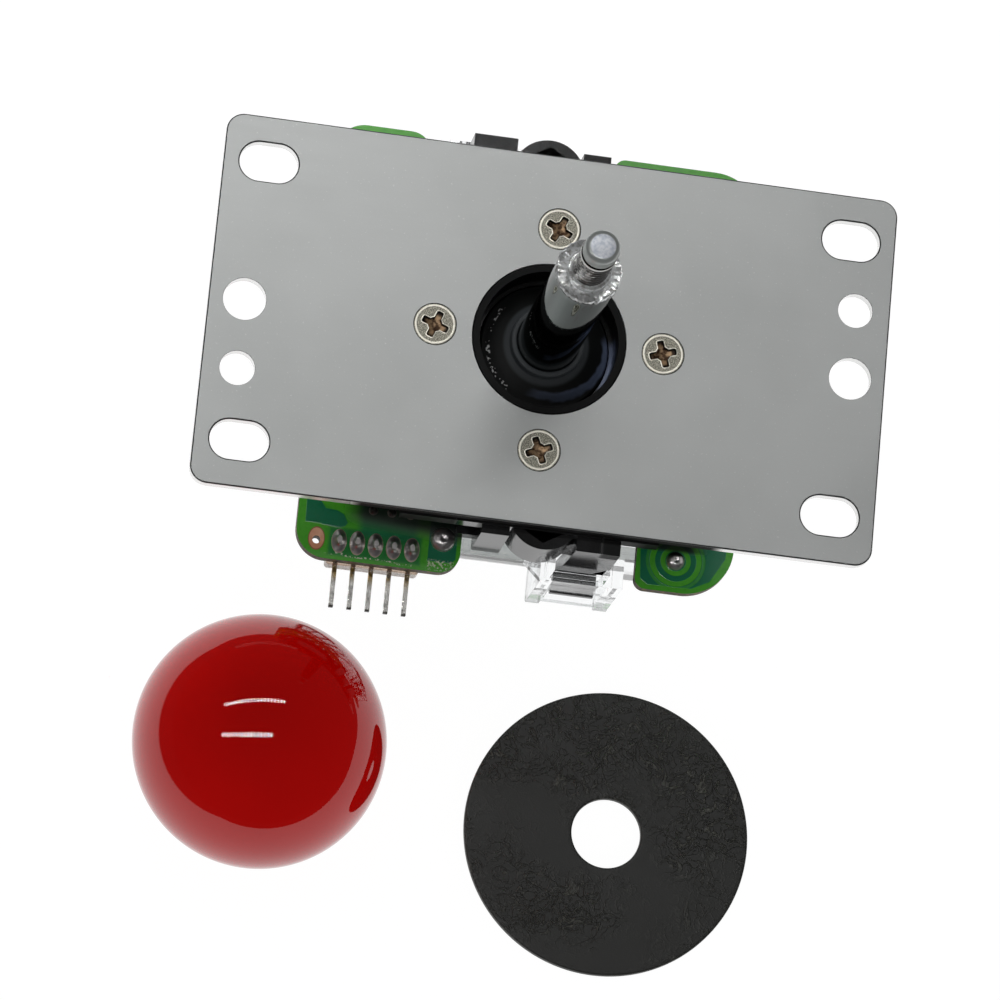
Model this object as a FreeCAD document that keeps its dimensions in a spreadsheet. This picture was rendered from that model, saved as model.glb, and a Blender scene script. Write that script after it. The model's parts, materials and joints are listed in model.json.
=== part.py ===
import FreeCAD, Part

import math
import os

import Sketcher

# A panel-mounted arcade joystick with its ball knob and dust washer taken off
# and lying beside it. +Z runs up the lever, X along the mounting plate, and the
# origin is on the lever's axis in the top face of the plate. The gate, the knob
# and the washer all stand on one surface, gate_foot below the plate. Names that
# end in top, foot, level or depth are depths below the plate's top face, apart
# from the lever's own shaft_top, stud_top and tip_top, which are heights above.

SIZES = {
    "stamped steel mounting plate": {
        "plate_length": 95.0, "plate_width": 53.2, "plate_thick": 1.6,
        "plate_corner": 2.5, "plate_edge": 0.25,
        "slot_pitch_long": 82.3, "slot_pitch_wide": 40.0,
        "slot_length": 8.2, "slot_width": 5.6, "slot_flat": 0.02,
        "side_hole_pitch": 85.0, "big_hole_bore": 6.0,
        "small_hole_bore": 4.9, "small_hole_offset": 9.9,
    },
    "countersunk screws and the nuts that they pull on": {
        "screw_circle": 32.0, "screw_head": 6.0, "screw_shank": 3.0,
        "screw_length": 8.6, "screw_gap": 0.2,
        "cross_span": 3.4, "cross_width": 0.75, "cross_depth": 1.1,
        "nut_across": 5.5, "nut_thick": 2.4, "nut_gap": 0.05,
    },
    "black moulded housing": {
        "housing_length": 54.0, "housing_width": 46.0, "housing_corner": 3.0,
        "deck_thick": 2.4, "skirt_wall": 1.8, "skirt_foot": 10.5,
        "band_length": 36.0, "band_width": 53.8,
        "collar_outside": 21.3, "collar_inside": 19.4, "collar_gap": 0.15,
        "tube_outside": 24.0, "tube_step": 9.0,
        "tube_tip": 21.6, "tube_foot": 11.6,
        "screw_boss": 8.4, "screw_boss_foot": 8.2, "pocket_depth": 2.6,
        "rib_thick": 1.5, "rib_foot": 8.6,
        "peg_across": 45.0, "peg_apart": 35.0, "peg_boss": 5.2,
        "peg_body": 2.4, "peg_gap": 0.2, "peg_foot": 12.9,
        "tab_top": 2.0, "boss_foot": 9.6, "boss_outside": 10.2,
        "boss_along": 1.95, "boss_out": 24.3,
        "boss_hex": 7.2, "boss_hex_depth": 5.0,
        "stub_from": 2.75, "stub_to": 6.65, "stub_out": 28.1, "stub_foot": 12.0,
        "ledge_to": 9.3, "ledge_in": 25.3, "ledge_out": 26.9, "ledge_top": 8.5,
        "gusset_from": 3.6, "gusset_in": 26.6, "gusset_out": 27.7, "gusset_top": 3.0,
        "hook_from": 6.65, "hook_to": 12.8, "hook_lean": 0.9,
        "hook_in": 27.0, "hook_out": 29.0, "hook_foot": 22.2,
        "barb_out": 31.2, "barb_top": 18.0, "barb_lip": 0.8, "barb_foot": 21.6,
    },
    "ball pivot and the lever through it": {
        "pivot_depth": 5.0, "ball_radius": 9.0, "seat_gap": 0.2,
        "neck_radius": 5.1, "neck_top": 1.0, "neck_foot": 2.3,
        "dome_radius": 8.2, "dome_foot": 4.3, "ball_foot": 9.8, "cut_past": 1.0,
        "shaft_radius": 4.3, "shaft_top": 33.0, "rim_radius": 4.45,
        "rim_height": 0.7, "rim_taper": 0.2, "bore_gap": 0.03, "shoulder_depth": 8.0,
        "step_radius": 3.4, "step_height": 0.8,
        "stud_radius": 2.75, "stud_top": 41.4, "stud_chamfer": 0.35,
        "tip_radius": 2.37, "tip_top": 44.4, "tip_round": 0.7,
        "lower_radius": 3.0, "lower_end": 30.8, "lower_chamfer": 0.5,
        "groove_radius": 2.3,
    },
    "spring, its seat and the actuator": {
        "seat_radius": 9.6, "seat_bore": 5.0, "seat_thick": 1.0,
        "coil_radius": 5.6, "wire": 1.0, "coil_turns": 5.0,
        "cup_radius": 7.7, "cup_inside": 6.5, "cup_top": 14.8,
        "cup_floor": 21.2, "cup_foot": 23.6, "cup_lead": 0.6,
        "stem_radius": 5.0, "stem_foot": 29.0,
        "clip_radius": 4.6, "clip_thick": 0.8, "clip_mouth": 3.6,
    },
    "circuit board": {
        "board_west": 31.2, "board_east": 30.0, "board_reach": 30.9,
        "header_reach": 32.3, "board_thick": 1.6, "board_hole": 23.2,
        "notch_in": 18.6,
        "south_notch_west": 8.2, "south_notch_east": 16.4,
        "north_notch_west": 17.7, "north_notch_east": 8.5,
        "lobe_corner": 4.2, "lobe_round": 7.0, "lobe_inner": 3.0,
        "lobe_nick": 1.5,
        "pad_along": 28.3, "pad_out": 29.8, "pad_bore": 1.1,
    },
    "microswitches": {
        "case_front": 10.4, "case_deep": 6.5, "case_wide": 12.8,
        "case_thick": 6.4, "case_edge": 0.4,
        "case_hole": 2.0, "case_hole_pitch": 6.5, "case_hole_back": 4.6,
        "plunger_radius": 0.9, "plunger_gap": 0.08,
        "plunger_level": 15.7, "plunger_tip": 9.65, "plunger_length": 3.0,
        "plunger_travel": 0.6, "plunger_dome": 0.35,
        "leg_wide": 0.9, "leg_thick": 0.5, "leg_pitch": 5.08,
        "leg_back": 3.25, "leg_top": 9.5, "leg_hole": 1.3,
    },
    "pin header": {
        "pin_first": 25.13, "pin_pitch": 2.54, "pin_side": 0.64,
        "pin_row": 29.6, "pin_top": 9.4, "pin_hole": 1.0,
        "base_in": 30.1, "base_deep": 2.5, "base_tall": 2.5,
        "base_long": 13.0, "base_edge": 0.3, "pin_tip": 38.4,
    },
    "solder on the board": {
        "joint_wide": 2.2, "joint_tip": 0.9, "joint_tall": 0.95,
        "blob_wide": 3.4, "blob_tip": 1.4,
        "small_wide": 1.9, "small_pitch": 2.6,
        "small_along": 20.8, "small_out": 24.7,
        "west_blob_along": 10.8, "west_blob_out": 27.6,
        "east_blob_along": 21.9, "east_blob_out": 26.4,
    },
    "clear restrictor gate": {
        "flange_long": 57.4, "flange_thick": 1.5, "flange_corner": 2.0,
        "gate_side": 53.2, "gate_wall": 1.8, "gate_corner": 3.0,
        "gate_foot": 32.0, "gate_floor": 4.0, "gate_draft": 6.3,
        "square_side": 17.6, "square_corner": 1.0,
        "loop_from": 3.5, "loop_to": 15.05, "loop_thick": 1.6, "loop_leg": 1.9,
        "loop_out": 31.0, "loop_foot": 26.9, "loop_shelf": 1.6, "loop_round": 1.2,
        "window_from": 5.5, "window_to": 12.9,
        "window_top": 17.7, "window_foot": 22.8, "hook_gap": 0.35,
        "ear_from": 12.0, "ear_to": 1.0, "ear_out": 28.7,
    },
    "ball knob and its threaded insert": {
        "knob_radius": 17.5, "knob_flat": 5.5,
        "knob_along": 32.77, "knob_out": 57.97,
        "insert_radius": 4.5, "insert_length": 12.0,
        "thread_radius": 2.5,
    },
    "rubber dust washer": {
        "dust_radius": 20.25, "dust_bore": 4.95, "dust_thick": 1.3,
        "dust_edge": 0.3, "dust_along": 18.7, "dust_out": 61.65,
    },
}

TURNS = {"east": 0.0, "north": 90.0, "west": 180.0, "south": 270.0}
NUT_TURN = 30.0
CROSS_TURNS = {"east": 12.0, "north": 38.0, "west": 70.0, "south": 22.0}
PIN_COUNT = 5
SMALL_COUNT = 3

doc = FreeCAD.newDocument("arcade_joystick")
cells = doc.addObject("Spreadsheet::Sheet", "cells")
row = 0
for group, sizes in SIZES.items():
    row += 1
    cells.set(f"A{row}", group)
    for name, size in sizes.items():
        row += 1
        cells.set(f"A{row}", name)
        cells.set(f"B{row}", str(size))
        cells.setAlias(f"B{row}", name)
doc.recompute()


def value(name):
    return float(cells.get(name))


# Helpers: every length in them is an expression on the sheet

def c(text):
    """Writes a sheet expression: each word in it is a cell of the sheet."""
    words = []
    for word in text.replace("(", " ( ").replace(")", " ) ").split():
        named = word[0].isalpha() and word not in ("cos", "sin", "sqrt", "deg")
        words.append("cells." + word if named else word)
    written = " ".join(words)
    for function in ("cos", "sin", "sqrt"):
        written = written.replace(function + " (", function + "(")
    return written


def bind(thing, **expressions):
    for slot, text in expressions.items():
        thing.setExpression(slot.replace("__", "."), c(text))
    return thing


def set_at(thing, across, up, turn=0.0):
    """Turns a piece that was made on the axis, and moves it to its place."""
    thing.Placement = FreeCAD.Placement(FreeCAD.Vector(), FreeCAD.Rotation(turn, 0, 0))
    return bind(thing, Placement__Base__x=across, Placement__Base__y=up)


def round_the_circle(place, radius):
    turn = TURNS[place]
    return f"{radius} * cos( {turn} deg )", f"{radius} * sin( {turn} deg )"


def new_body(label):
    body = doc.addObject("PartDesign::Body", label)
    body.Label = label
    return body


def new_sketch(body, depth="0", plane="XY"):
    """A sketch on one of the body's own planes, lowered by a depth."""
    sketch = body.newObject("Sketcher::SketchObject", body.Name + "_sketch")
    origin = body.Origin.OriginFeatures
    base = next(item for item in origin if item.Role == plane + "_Plane")
    sketch.AttachmentSupport = [(base, "")]
    sketch.MapMode = "FlatFace"
    return bind(sketch, AttachmentOffset__Base__z=f"0 - ( {depth} )")


def fix(sketch, edge, point, across, up):
    """Ties one point of a sketch to two expressions."""
    for kind, text in (("DistanceX", across), ("DistanceY", up)):
        number = sketch.addConstraint(Sketcher.Constraint(kind, -1, 1, edge, point, 1.0))
        sketch.setExpression(f"Constraints[{number}]", c(text))


def polygon(sketch, corners):
    first = sketch.GeometryCount
    count = len(corners)
    start = [FreeCAD.Vector(k, k * k, 0) for k in range(count)]
    for k in range(count):
        sketch.addGeometry(Part.LineSegment(start[k], start[(k + 1) % count]))
    for k in range(count):
        after = first + (k + 1) % count
        sketch.addConstraint(Sketcher.Constraint("Coincident", first + k, 2, after, 1))
    for k, (across, up) in enumerate(corners):
        fix(sketch, first + k, 1, across, up)
    return sketch


def rectangle(sketch, west, south, east, north):
    return polygon(sketch, [(west, south), (east, south), (east, north), (west, north)])


def centred(sketch, length, width):
    return rectangle(
        sketch, f"0 - {length} / 2", f"0 - {width} / 2", f"{length} / 2", f"{width} / 2"
    )


def circle(sketch, across, up, diameter):
    number = sketch.addGeometry(
        Part.Circle(FreeCAD.Vector(0, 0, 0), FreeCAD.Vector(0, 0, 1), 1.0)
    )
    fix(sketch, number, 3, across, up)
    size = sketch.addConstraint(Sketcher.Constraint("Diameter", number, 1.0))
    sketch.setExpression(f"Constraints[{size}]", c(diameter))
    return sketch


def hexagon(sketch, across, up, flats):
    """A nut's outline with one corner pointing along the sketch's Y."""
    corners = []
    for k in range(6):
        turn = 60 * k + 30
        corners.append((
            f"{across} + {flats} / sqrt( 3 ) * cos( {turn} deg )",
            f"{up} + {flats} / sqrt( 3 ) * sin( {turn} deg )",
        ))
    return polygon(sketch, corners)


def feature(body, kind, sketch):
    made = body.newObject("PartDesign::" + kind, f"{body.Name}_{kind}")
    made.Profile = sketch
    body.Tip = made
    return made


def pad(body, sketch, length):
    """Pads a sketch downwards from its own depth."""
    made = bind(feature(body, "Pad", sketch), Length=length)
    made.Reversed = True
    return made


def pocket(body, sketch, depth, upward=False):
    """Cuts a sketch downwards from its own depth, or upwards."""
    made = bind(feature(body, "Pocket", sketch), Length=depth)
    made.Reversed = upward
    return made


def turned(body, corners, kind="Revolution"):
    """Turns an outline of (radius, height) corners about Z."""
    sketch = polygon(new_sketch(body, plane="XZ"), corners)
    made = feature(body, kind, sketch)
    made.ReferenceAxis = (sketch, ["V_Axis"])
    made.Angle = 360.0
    return made


def solid_of(body, kind, **expressions):
    """Adds or cuts a ball or a cone."""
    made = bind(body.newObject("PartDesign::" + kind, f"{body.Name}_{kind}"), **expressions)
    body.Tip = made
    return made


def dress(body, kind, size, wanted):
    """Fillets or chamfers the edges of the body so far that wanted() picks."""
    doc.recompute()
    base = body.Tip
    names = [f"Edge{n}" for n, edge in enumerate(base.Shape.Edges, 1) if wanted(edge)]
    made = body.newObject("PartDesign::" + kind, f"{body.Name}_{kind}")
    made.Base = (base, names)
    body.Tip = made
    return bind(made, **{"Radius" if kind == "Fillet" else "Size": size})


def upright(edge):
    box = edge.BoundBox
    return box.ZLength > 0.1 and box.XLength + box.YLength < 1e-4


def drafted(edge):
    """An edge that runs down a corner of a drafted wall."""
    box = edge.BoundBox
    return box.ZLength > 5 * max(box.XLength, box.YLength) > 0.5


def stands_at(edge, across, up):
    middle = edge.BoundBox.Center
    return upright(edge) and abs(middle.x - across) < 0.01 and abs(middle.y - up) < 0.01


def primitive(kind, label, **expressions):
    return bind(doc.addObject("Part::" + kind, label), **expressions)


def block(label, west, south, foot, long, wide, tall):
    """A box with its lowest corner at west, south and the depth foot."""
    return primitive(
        "Box", label, Length=long, Width=wide, Height=tall,
        Placement__Base__x=west, Placement__Base__y=south,
        Placement__Base__z=f"0 - ( {foot} )",
    )


def joined(kind, label, pieces):
    made = doc.addObject("Part::" + kind, label)
    made.Label = label
    if kind == "Cut":
        made.Base, made.Tool = pieces
    elif kind == "Compound":
        made.Links = pieces
    else:
        made.Shapes = pieces
    return made


# Mounting plate: stamped sheet steel with four panel slots, four round holes at
# its ends, a hub hole and four countersunk holes

plate = new_body("mounting_plate")
pad(plate, centred(new_sketch(plate), "plate_length", "plate_width"), "plate_thick")
dress(plate, "Fillet", "plate_corner", upright)

holes = new_sketch(plate)
circle(holes, "0", "0", "collar_outside + 2 * collar_gap")
for side in (-1, 1):
    end = f"{side} * side_hole_pitch / 2"
    circle(holes, end, "0", "big_hole_bore")
    circle(holes, end, f"{side} * small_hole_offset", "small_hole_bore")
for place in TURNS:
    circle(holes, *round_the_circle(place, "screw_circle / 2"), "screw_shank + 2 * screw_gap")
pocket(plate, holes, "plate_thick")

slots = new_sketch(plate)
for across in (-1, 1):
    for up in (-1, 1):
        middle, centre = f"{across} * slot_pitch_long / 2", f"{up} * slot_pitch_wide / 2"
        rectangle(
            slots,
            f"{middle} - slot_length / 2", f"{centre} - slot_width / 2",
            f"{middle} + slot_length / 2", f"{centre} + slot_width / 2",
        )
pocket(plate, slots, "plate_thick")


def slot_corner(edge):
    middle = edge.BoundBox.Center
    from_x = abs(abs(middle.x) - value("slot_pitch_long") / 2) - value("slot_length") / 2
    from_y = abs(abs(middle.y) - value("slot_pitch_wide") / 2) - value("slot_width") / 2
    return upright(edge) and abs(from_x) < 0.01 and abs(from_y) < 0.01


def plate_rim(edge):
    """The edges round the outside of the plate's top face."""
    box = edge.BoundBox
    past_end = abs(box.Center.x) > value("plate_length") / 2 - value("plate_corner")
    past_side = abs(box.Center.y) > value("plate_width") / 2 - value("plate_corner")
    return (past_end or past_side) and box.ZLength < 1e-4 and abs(box.ZMax) < 1e-4


dress(plate, "Fillet", "( slot_width - slot_flat ) / 2", slot_corner)
dress(plate, "Fillet", "plate_edge", plate_rim)
HEAD_DEEP = "( screw_head - screw_shank ) / 2"
for place in TURNS:
    across, up = round_the_circle(place, "screw_circle / 2")
    solid_of(
        plate, "SubtractiveCone", Radius1="screw_shank / 2", Radius2="screw_head / 2",
        Height=HEAD_DEEP, Placement__Base__x=across, Placement__Base__y=up,
        Placement__Base__z=f"0 - {HEAD_DEEP}",
    )

# Countersunk screws with a cross recess, each stopped at its own angle, and the
# hexagon nuts that they pull on

screws = []
nuts = []
for place in TURNS:
    across, up = round_the_circle(place, "screw_circle / 2")
    head = primitive(
        "Cone", "screw_head_" + place, Radius1="screw_shank / 2",
        Radius2="screw_head / 2", Height=HEAD_DEEP, Placement__Base__z=f"0 - {HEAD_DEEP}",
    )
    shank = primitive(
        "Cylinder", "screw_shank_" + place, Radius="screw_shank / 2",
        Height=f"screw_length - {HEAD_DEEP}", Placement__Base__z="0 - screw_length",
    )
    span, width = "cross_span", "cross_width"
    arms = [
        block(
            f"cross_arm_{place}_{long}", f"0 - {long} / 2", f"0 - {wide} / 2",
            "cross_depth", long, wide, "cross_depth",
        )
        for long, wide in ((span, width), (width, span))
    ]
    whole = joined("MultiFuse", "screw_whole_" + place, [head, shank])
    cross = joined("MultiFuse", "screw_cross_" + place, arms)
    screw = joined("Cut", "screw_" + place, [whole, cross])
    screws.append(set_at(screw, across, up, CROSS_TURNS[place]))

    flats = primitive(
        "Prism", "nut_flats_" + place, Circumradius="nut_across / sqrt( 3 )",
        Height="nut_thick", Placement__Base__z="0 - screw_boss_foot",
    )
    bore = primitive(
        "Cylinder", "nut_bore_" + place, Radius="screw_shank / 2 + nut_gap",
        Height="nut_thick", Placement__Base__z="0 - screw_boss_foot",
    )
    nuts.append(set_at(joined("Cut", "nut_" + place, [flats, bore]), across, up, NUT_TURN))

joined("Compound", "plate_screws", screws)
joined("Compound", "plate_nuts", nuts)

# Housing: one black moulding with a ribbed deck, a collar that fills the plate's
# hub hole, a ball seat, screw bosses, and on two sides a round boss with a
# hexagon pocket, a stub and a hook that holds the gate

housing = new_body("housing")
shell = centred(new_sketch(housing, "plate_thick"), "housing_length", "housing_width")
pad(housing, shell, "skirt_foot - plate_thick")
dress(housing, "Fillet", "housing_corner", upright)
inside = centred(
    new_sketch(housing, "plate_thick + deck_thick"),
    "( housing_length - 2 * skirt_wall )", "( housing_width - 2 * skirt_wall )",
)
pocket(housing, inside, "skirt_foot")
band = centred(new_sketch(housing, "plate_thick"), "band_length", "band_width")
pad(housing, band, "deck_thick")
collar = circle(new_sketch(housing), "0", "0", "collar_outside")
pad(housing, collar, "plate_thick + deck_thick")
for diameter, foot in (("tube_outside", "tube_step"), ("tube_tip", "tube_foot")):
    tube = circle(new_sketch(housing, "plate_thick"), "0", "0", diameter)
    pad(housing, tube, f"{foot} - plate_thick")

for slant in (45, 135):
    reach = "( housing_width / 2 - skirt_wall / 2 )"
    along = f"{reach} * cos( {slant} deg ) * sqrt( 2 )"
    rise = f"{reach} * sin( {slant} deg ) * sqrt( 2 )"
    half_x = f"rib_thick / 2 * sin( {slant} deg )"
    half_y = f"rib_thick / 2 * cos( {slant} deg )"
    rib = new_sketch(housing, "plate_thick")
    polygon(rib, [
        (f"{along} - {half_x}", f"{rise} + {half_y}"),
        (f"0 - {along} - {half_x}", f"0 - {rise} + {half_y}"),
        (f"0 - {along} + {half_x}", f"0 - {rise} - {half_y}"),
        (f"{along} + {half_x}", f"{rise} - {half_y}"),
    ])
    pad(housing, rib, "rib_foot - plate_thick")

bosses = new_sketch(housing, "plate_thick")
for place in TURNS:
    circle(bosses, *round_the_circle(place, "screw_circle / 2"), "screw_boss")
pad(housing, bosses, "screw_boss_foot - plate_thick")
peg_posts = new_sketch(housing, "plate_thick")
pegs = new_sketch(housing, "plate_thick")
for side in (-1, 1):
    across, up = f"{side} * peg_across / 2", f"{side} * peg_apart / 2"
    circle(peg_posts, across, up, "peg_boss")
    circle(pegs, across, up, "peg_body")
pad(housing, peg_posts, "skirt_foot - plate_thick")
pad(housing, pegs, "peg_foot - plate_thick")

for side in (-1, 1):
    # Everything on the south side is repeated half a turn away on the north
    def along(name):
        return f"{-side} * {name}"

    def out(name):
        return f"{side} * {name}"

    tab_inside = "( housing_width / 2 - skirt_wall )"
    spot = along("boss_along"), out("boss_out")
    boss = circle(new_sketch(housing, "tab_top"), *spot, "boss_outside")
    pad(housing, boss, "boss_foot - tab_top")
    stub = rectangle(
        new_sketch(housing, "tab_top"), along("( 0 - stub_to )"), out(tab_inside),
        along("( 0 - stub_from )"), out("stub_out"),
    )
    pad(housing, stub, "stub_foot - tab_top")
    ledge = rectangle(
        new_sketch(housing, "ledge_top"), along("( 0 - ledge_to )"), out("ledge_in"),
        along("( 0 - stub_to )"), out("ledge_out"),
    )
    pad(housing, ledge, "skirt_foot - ledge_top")
    hook_root = rectangle(
        new_sketch(housing, "tab_top"), along("hook_from"), out(tab_inside),
        along("hook_to"), out("hook_out"),
    )
    pad(housing, hook_root, "skirt_foot - tab_top")
    leg_start = "hook_in" if side < 0 else "( 0 - hook_out )"
    leg = polygon(new_sketch(housing, f"0 - {leg_start}", "XZ"), [
        (along("hook_from"), "0 - tab_top"), (along("hook_to"), "0 - tab_top"),
        (along("( hook_to - hook_lean )"), "0 - hook_foot"),
        (along("( hook_from - hook_lean )"), "0 - hook_foot"),
    ])
    bind(feature(housing, "Pad", leg), Length="hook_out - hook_in")
    web_start = "gusset_in" if side < 0 else "( 0 - gusset_out )"
    web = polygon(new_sketch(housing, f"0 - {web_start}", "XZ"), [
        (along("gusset_from"), "0 - boss_foot"), (along("hook_from"), "0 - gusset_top"),
        (along("hook_from"), "0 - boss_foot"),
    ])
    bind(feature(housing, "Pad", web), Length="gusset_out - gusset_in")
    barb = new_sketch(housing, "0", "YZ")
    barb_start = along("( hook_from - hook_lean )") if side < 0 else along("( hook_to - hook_lean )")
    bind(barb, AttachmentOffset__Base__z=barb_start)
    polygon(barb, [
        (out("hook_in"), "0 - barb_top"), (out("barb_out"), "0 - barb_top"),
        (out("barb_out"), "0 - barb_top - barb_lip"), (out("hook_out"), "0 - barb_foot"),
        (out("hook_in"), "0 - barb_foot"),
    ])
    bind(feature(housing, "Pad", barb), Length="hook_to - hook_from")
    nut_pocket = hexagon(new_sketch(housing, "tab_top"), *spot, "boss_hex")
    pocket(housing, nut_pocket, "boss_hex_depth")

bowl = circle(new_sketch(housing), "0", "0", "collar_inside")
pocket(housing, bowl, "pivot_depth")
solid_of(
    housing, "SubtractiveSphere", Radius="ball_radius + seat_gap",
    Placement__Base__z="0 - pivot_depth",
)
shafts = new_sketch(housing, "plate_thick")
pockets = new_sketch(housing, "screw_boss_foot")
for place in TURNS:
    across, up = round_the_circle(place, "screw_circle / 2")
    circle(shafts, across, up, "screw_shank + 2 * screw_gap")
    hexagon(pockets, across, up, "( nut_across + 2 * nut_gap )")
pocket(housing, shafts, "screw_boss_foot")
pocket(housing, pockets, "pocket_depth", upward=True)

# Ball pivot: a truncated ball with a neck, turned from slippery plastic, and
# bored in two steps for the lever's shaft

pivot = new_body("pivot_ball")
solid_of(pivot, "AdditiveSphere", Radius="ball_radius", Placement__Base__z="0 - pivot_depth")
top_cut = [
    ("neck_radius", "0 - neck_top"), ("neck_radius", "0 - neck_foot"),
    ("dome_radius", "0 - dome_foot"), ("ball_radius + cut_past", "0 - pivot_depth"),
    ("ball_radius + cut_past", "ball_radius"), ("0", "ball_radius"), ("0", "0 - neck_top"),
]
turned(pivot, top_cut, "Groove")
bottom_cut = [
    ("0", "0 - ball_foot"), ("ball_radius", "0 - ball_foot"),
    ("ball_radius", "0 - pivot_depth - ball_radius - cut_past"),
    ("0", "0 - pivot_depth - ball_radius - cut_past"),
]
turned(pivot, bottom_cut, "Groove")
bore = [
    ("0", "0"), ("shaft_radius + bore_gap", "0"),
    ("shaft_radius + bore_gap", "0 - shoulder_depth"),
    ("lower_radius + bore_gap", "0 - shoulder_depth"),
    ("lower_radius + bore_gap", "0 - pivot_depth - ball_radius"),
    ("0", "0 - pivot_depth - ball_radius"),
]
turned(pivot, bore, "Groove")

# Lever: one turned and plated steel shaft, with the knob's stud at its top, a
# shoulder inside the ball and a groove for the retaining clip at its foot

lever = new_body("lever_shaft")
turned(lever, [
    ("0", "tip_top"), ("tip_radius - tip_round", "tip_top"),
    ("tip_radius", "tip_top - tip_round"), ("tip_radius", "stud_top"),
    ("stud_radius - stud_chamfer", "stud_top"), ("stud_radius", "stud_top - stud_chamfer"),
    ("stud_radius", "shaft_top + step_height"),
    ("step_radius", "shaft_top + step_height"), ("step_radius", "shaft_top"),
    ("rim_radius", "shaft_top"), ("rim_radius", "shaft_top - rim_height"),
    ("shaft_radius", "shaft_top - rim_height - rim_taper"),
    ("shaft_radius", "0 - shoulder_depth"), ("lower_radius", "0 - shoulder_depth"),
    ("lower_radius", "0 - stem_foot"), ("groove_radius", "0 - stem_foot"),
    ("groove_radius", "0 - stem_foot - clip_thick"),
    ("lower_radius", "0 - stem_foot - clip_thick"),
    ("lower_radius", "0 - lower_end + lower_chamfer"),
    ("lower_radius - lower_chamfer", "0 - lower_end"), ("0", "0 - lower_end"),
])

# Spring seat: a flat plastic ring that the spring presses against the housing

seat = new_body("spring_seat")
ring = circle(new_sketch(seat, "tube_foot"), "0", "0", "2 * seat_radius")
circle(ring, "0", "0", "2 * seat_bore")
pad(seat, ring, "seat_thick")

# Return spring: a compression coil between its seat and the actuator's cup

spring = new_body("return_spring")
section = circle(
    new_sketch(spring, plane="XZ"), "coil_radius", "0 - cup_floor + wire / 2", "wire"
)
coil = feature(spring, "AdditiveHelix", section)
coil.ReferenceAxis = (section, ["V_Axis"])
coil.Mode = "height-turns-growth"
bind(coil, Height="cup_floor - tube_foot - seat_thick - wire", Turns="coil_turns")

# Actuator: a plastic cup round the spring that pushes the switches, on a stem
# that the gate's square hole stops

actuator = new_body("actuator")
turned(actuator, [
    ("cup_inside", "0 - cup_top"), ("cup_radius - cup_lead", "0 - cup_top"),
    ("cup_radius", "0 - cup_top - cup_lead"), ("cup_radius", "0 - cup_foot + cup_lead"),
    ("cup_radius - cup_lead", "0 - cup_foot"), ("stem_radius", "0 - cup_foot"),
    ("stem_radius", "0 - stem_foot"), ("lower_radius + bore_gap", "0 - stem_foot"),
    ("lower_radius + bore_gap", "0 - cup_floor"), ("cup_inside", "0 - cup_floor"),
])

# Retaining clip: a spring-steel ring with an open mouth, pushed into the groove

clip = new_body("retaining_clip")
ring = circle(new_sketch(clip, "stem_foot"), "0", "0", "2 * clip_radius")
circle(ring, "0", "0", "2 * groove_radius + 2 * bore_gap")
pad(clip, ring, "clip_thick")
mouth = rectangle(
    new_sketch(clip, "stem_foot"), "0 - clip_mouth / 2", "0 - 2 * clip_radius",
    "clip_mouth / 2", "0",
)
pocket(clip, mouth, "clip_thick")

# Circuit board: glass epoxy, with a lobe at each corner between two notches that
# the housing's hooks and bosses pass through

board = new_body("circuit_board")
outline = rectangle(
    new_sketch(board, "skirt_foot"), "0 - board_west", "0 - board_reach",
    "board_east", "board_reach",
)
pad(board, outline, "board_thick")
lobe = rectangle(
    new_sketch(board, "skirt_foot"), "0 - board_west", "0 - header_reach",
    "0 - south_notch_west", "0 - notch_in",
)
pad(board, lobe, "board_thick")
notches = new_sketch(board, "skirt_foot")
rectangle(
    notches, "0 - south_notch_west", "0 - 2 * board_reach", "south_notch_east", "0 - notch_in"
)
rectangle(
    notches, "0 - north_notch_west", "notch_in", "north_notch_east", "2 * board_reach"
)
pocket(board, notches, "board_thick")
south, north = -value("board_reach"), value("board_reach")
CORNERS = {
    "lobe_corner": [
        (-value("board_west"), -value("header_reach")), (-value("board_west"), north),
    ],
    "lobe_inner": [
        (-value("south_notch_west"), -value("header_reach")),
        (-value("north_notch_west"), north),
    ],
    "lobe_nick": [(value("south_notch_east"), south), (value("north_notch_east"), north)],
    "lobe_round": [(value("board_east"), south), (value("board_east"), north)],
}
for size, corners in CORNERS.items():
    dress(board, "Fillet", size, lambda edge: any(stands_at(edge, *spot) for spot in corners))

drills = new_sketch(board, "skirt_foot")
circle(drills, "0", "0", "board_hole")
circle(drills, "0 - pad_along", "0 - pad_out", "pad_bore")
for side in (-1, 1):
    circle(drills, f"{side} * peg_across / 2", f"{side} * peg_apart / 2", "peg_body + 2 * peg_gap")
PIN_ROW = [f"0 - pin_first + {k} * pin_pitch" for k in range(PIN_COUNT)]
for across in PIN_ROW:
    circle(drills, across, "0 - pin_row", "pin_hole")
LEG_ROW = "( case_front + leg_back )"
LEG_SPOTS = []
for place, turn in TURNS.items():
    for step in (-1, 0, 1):
        out_x, out_y = f"{LEG_ROW} * cos( {turn} deg )", f"{LEG_ROW} * sin( {turn} deg )"
        spot = (
            f"{out_x} - {step} * leg_pitch * sin( {turn} deg )",
            f"{out_y} + {step} * leg_pitch * cos( {turn} deg )",
        )
        LEG_SPOTS.append((spot, turn))
        circle(drills, *spot, "leg_hole")
pocket(board, drills, "board_thick")

# Microswitches: four sealed black cases soldered under the board, each with a
# plunger that faces the actuator and slides in its own bore

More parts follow.
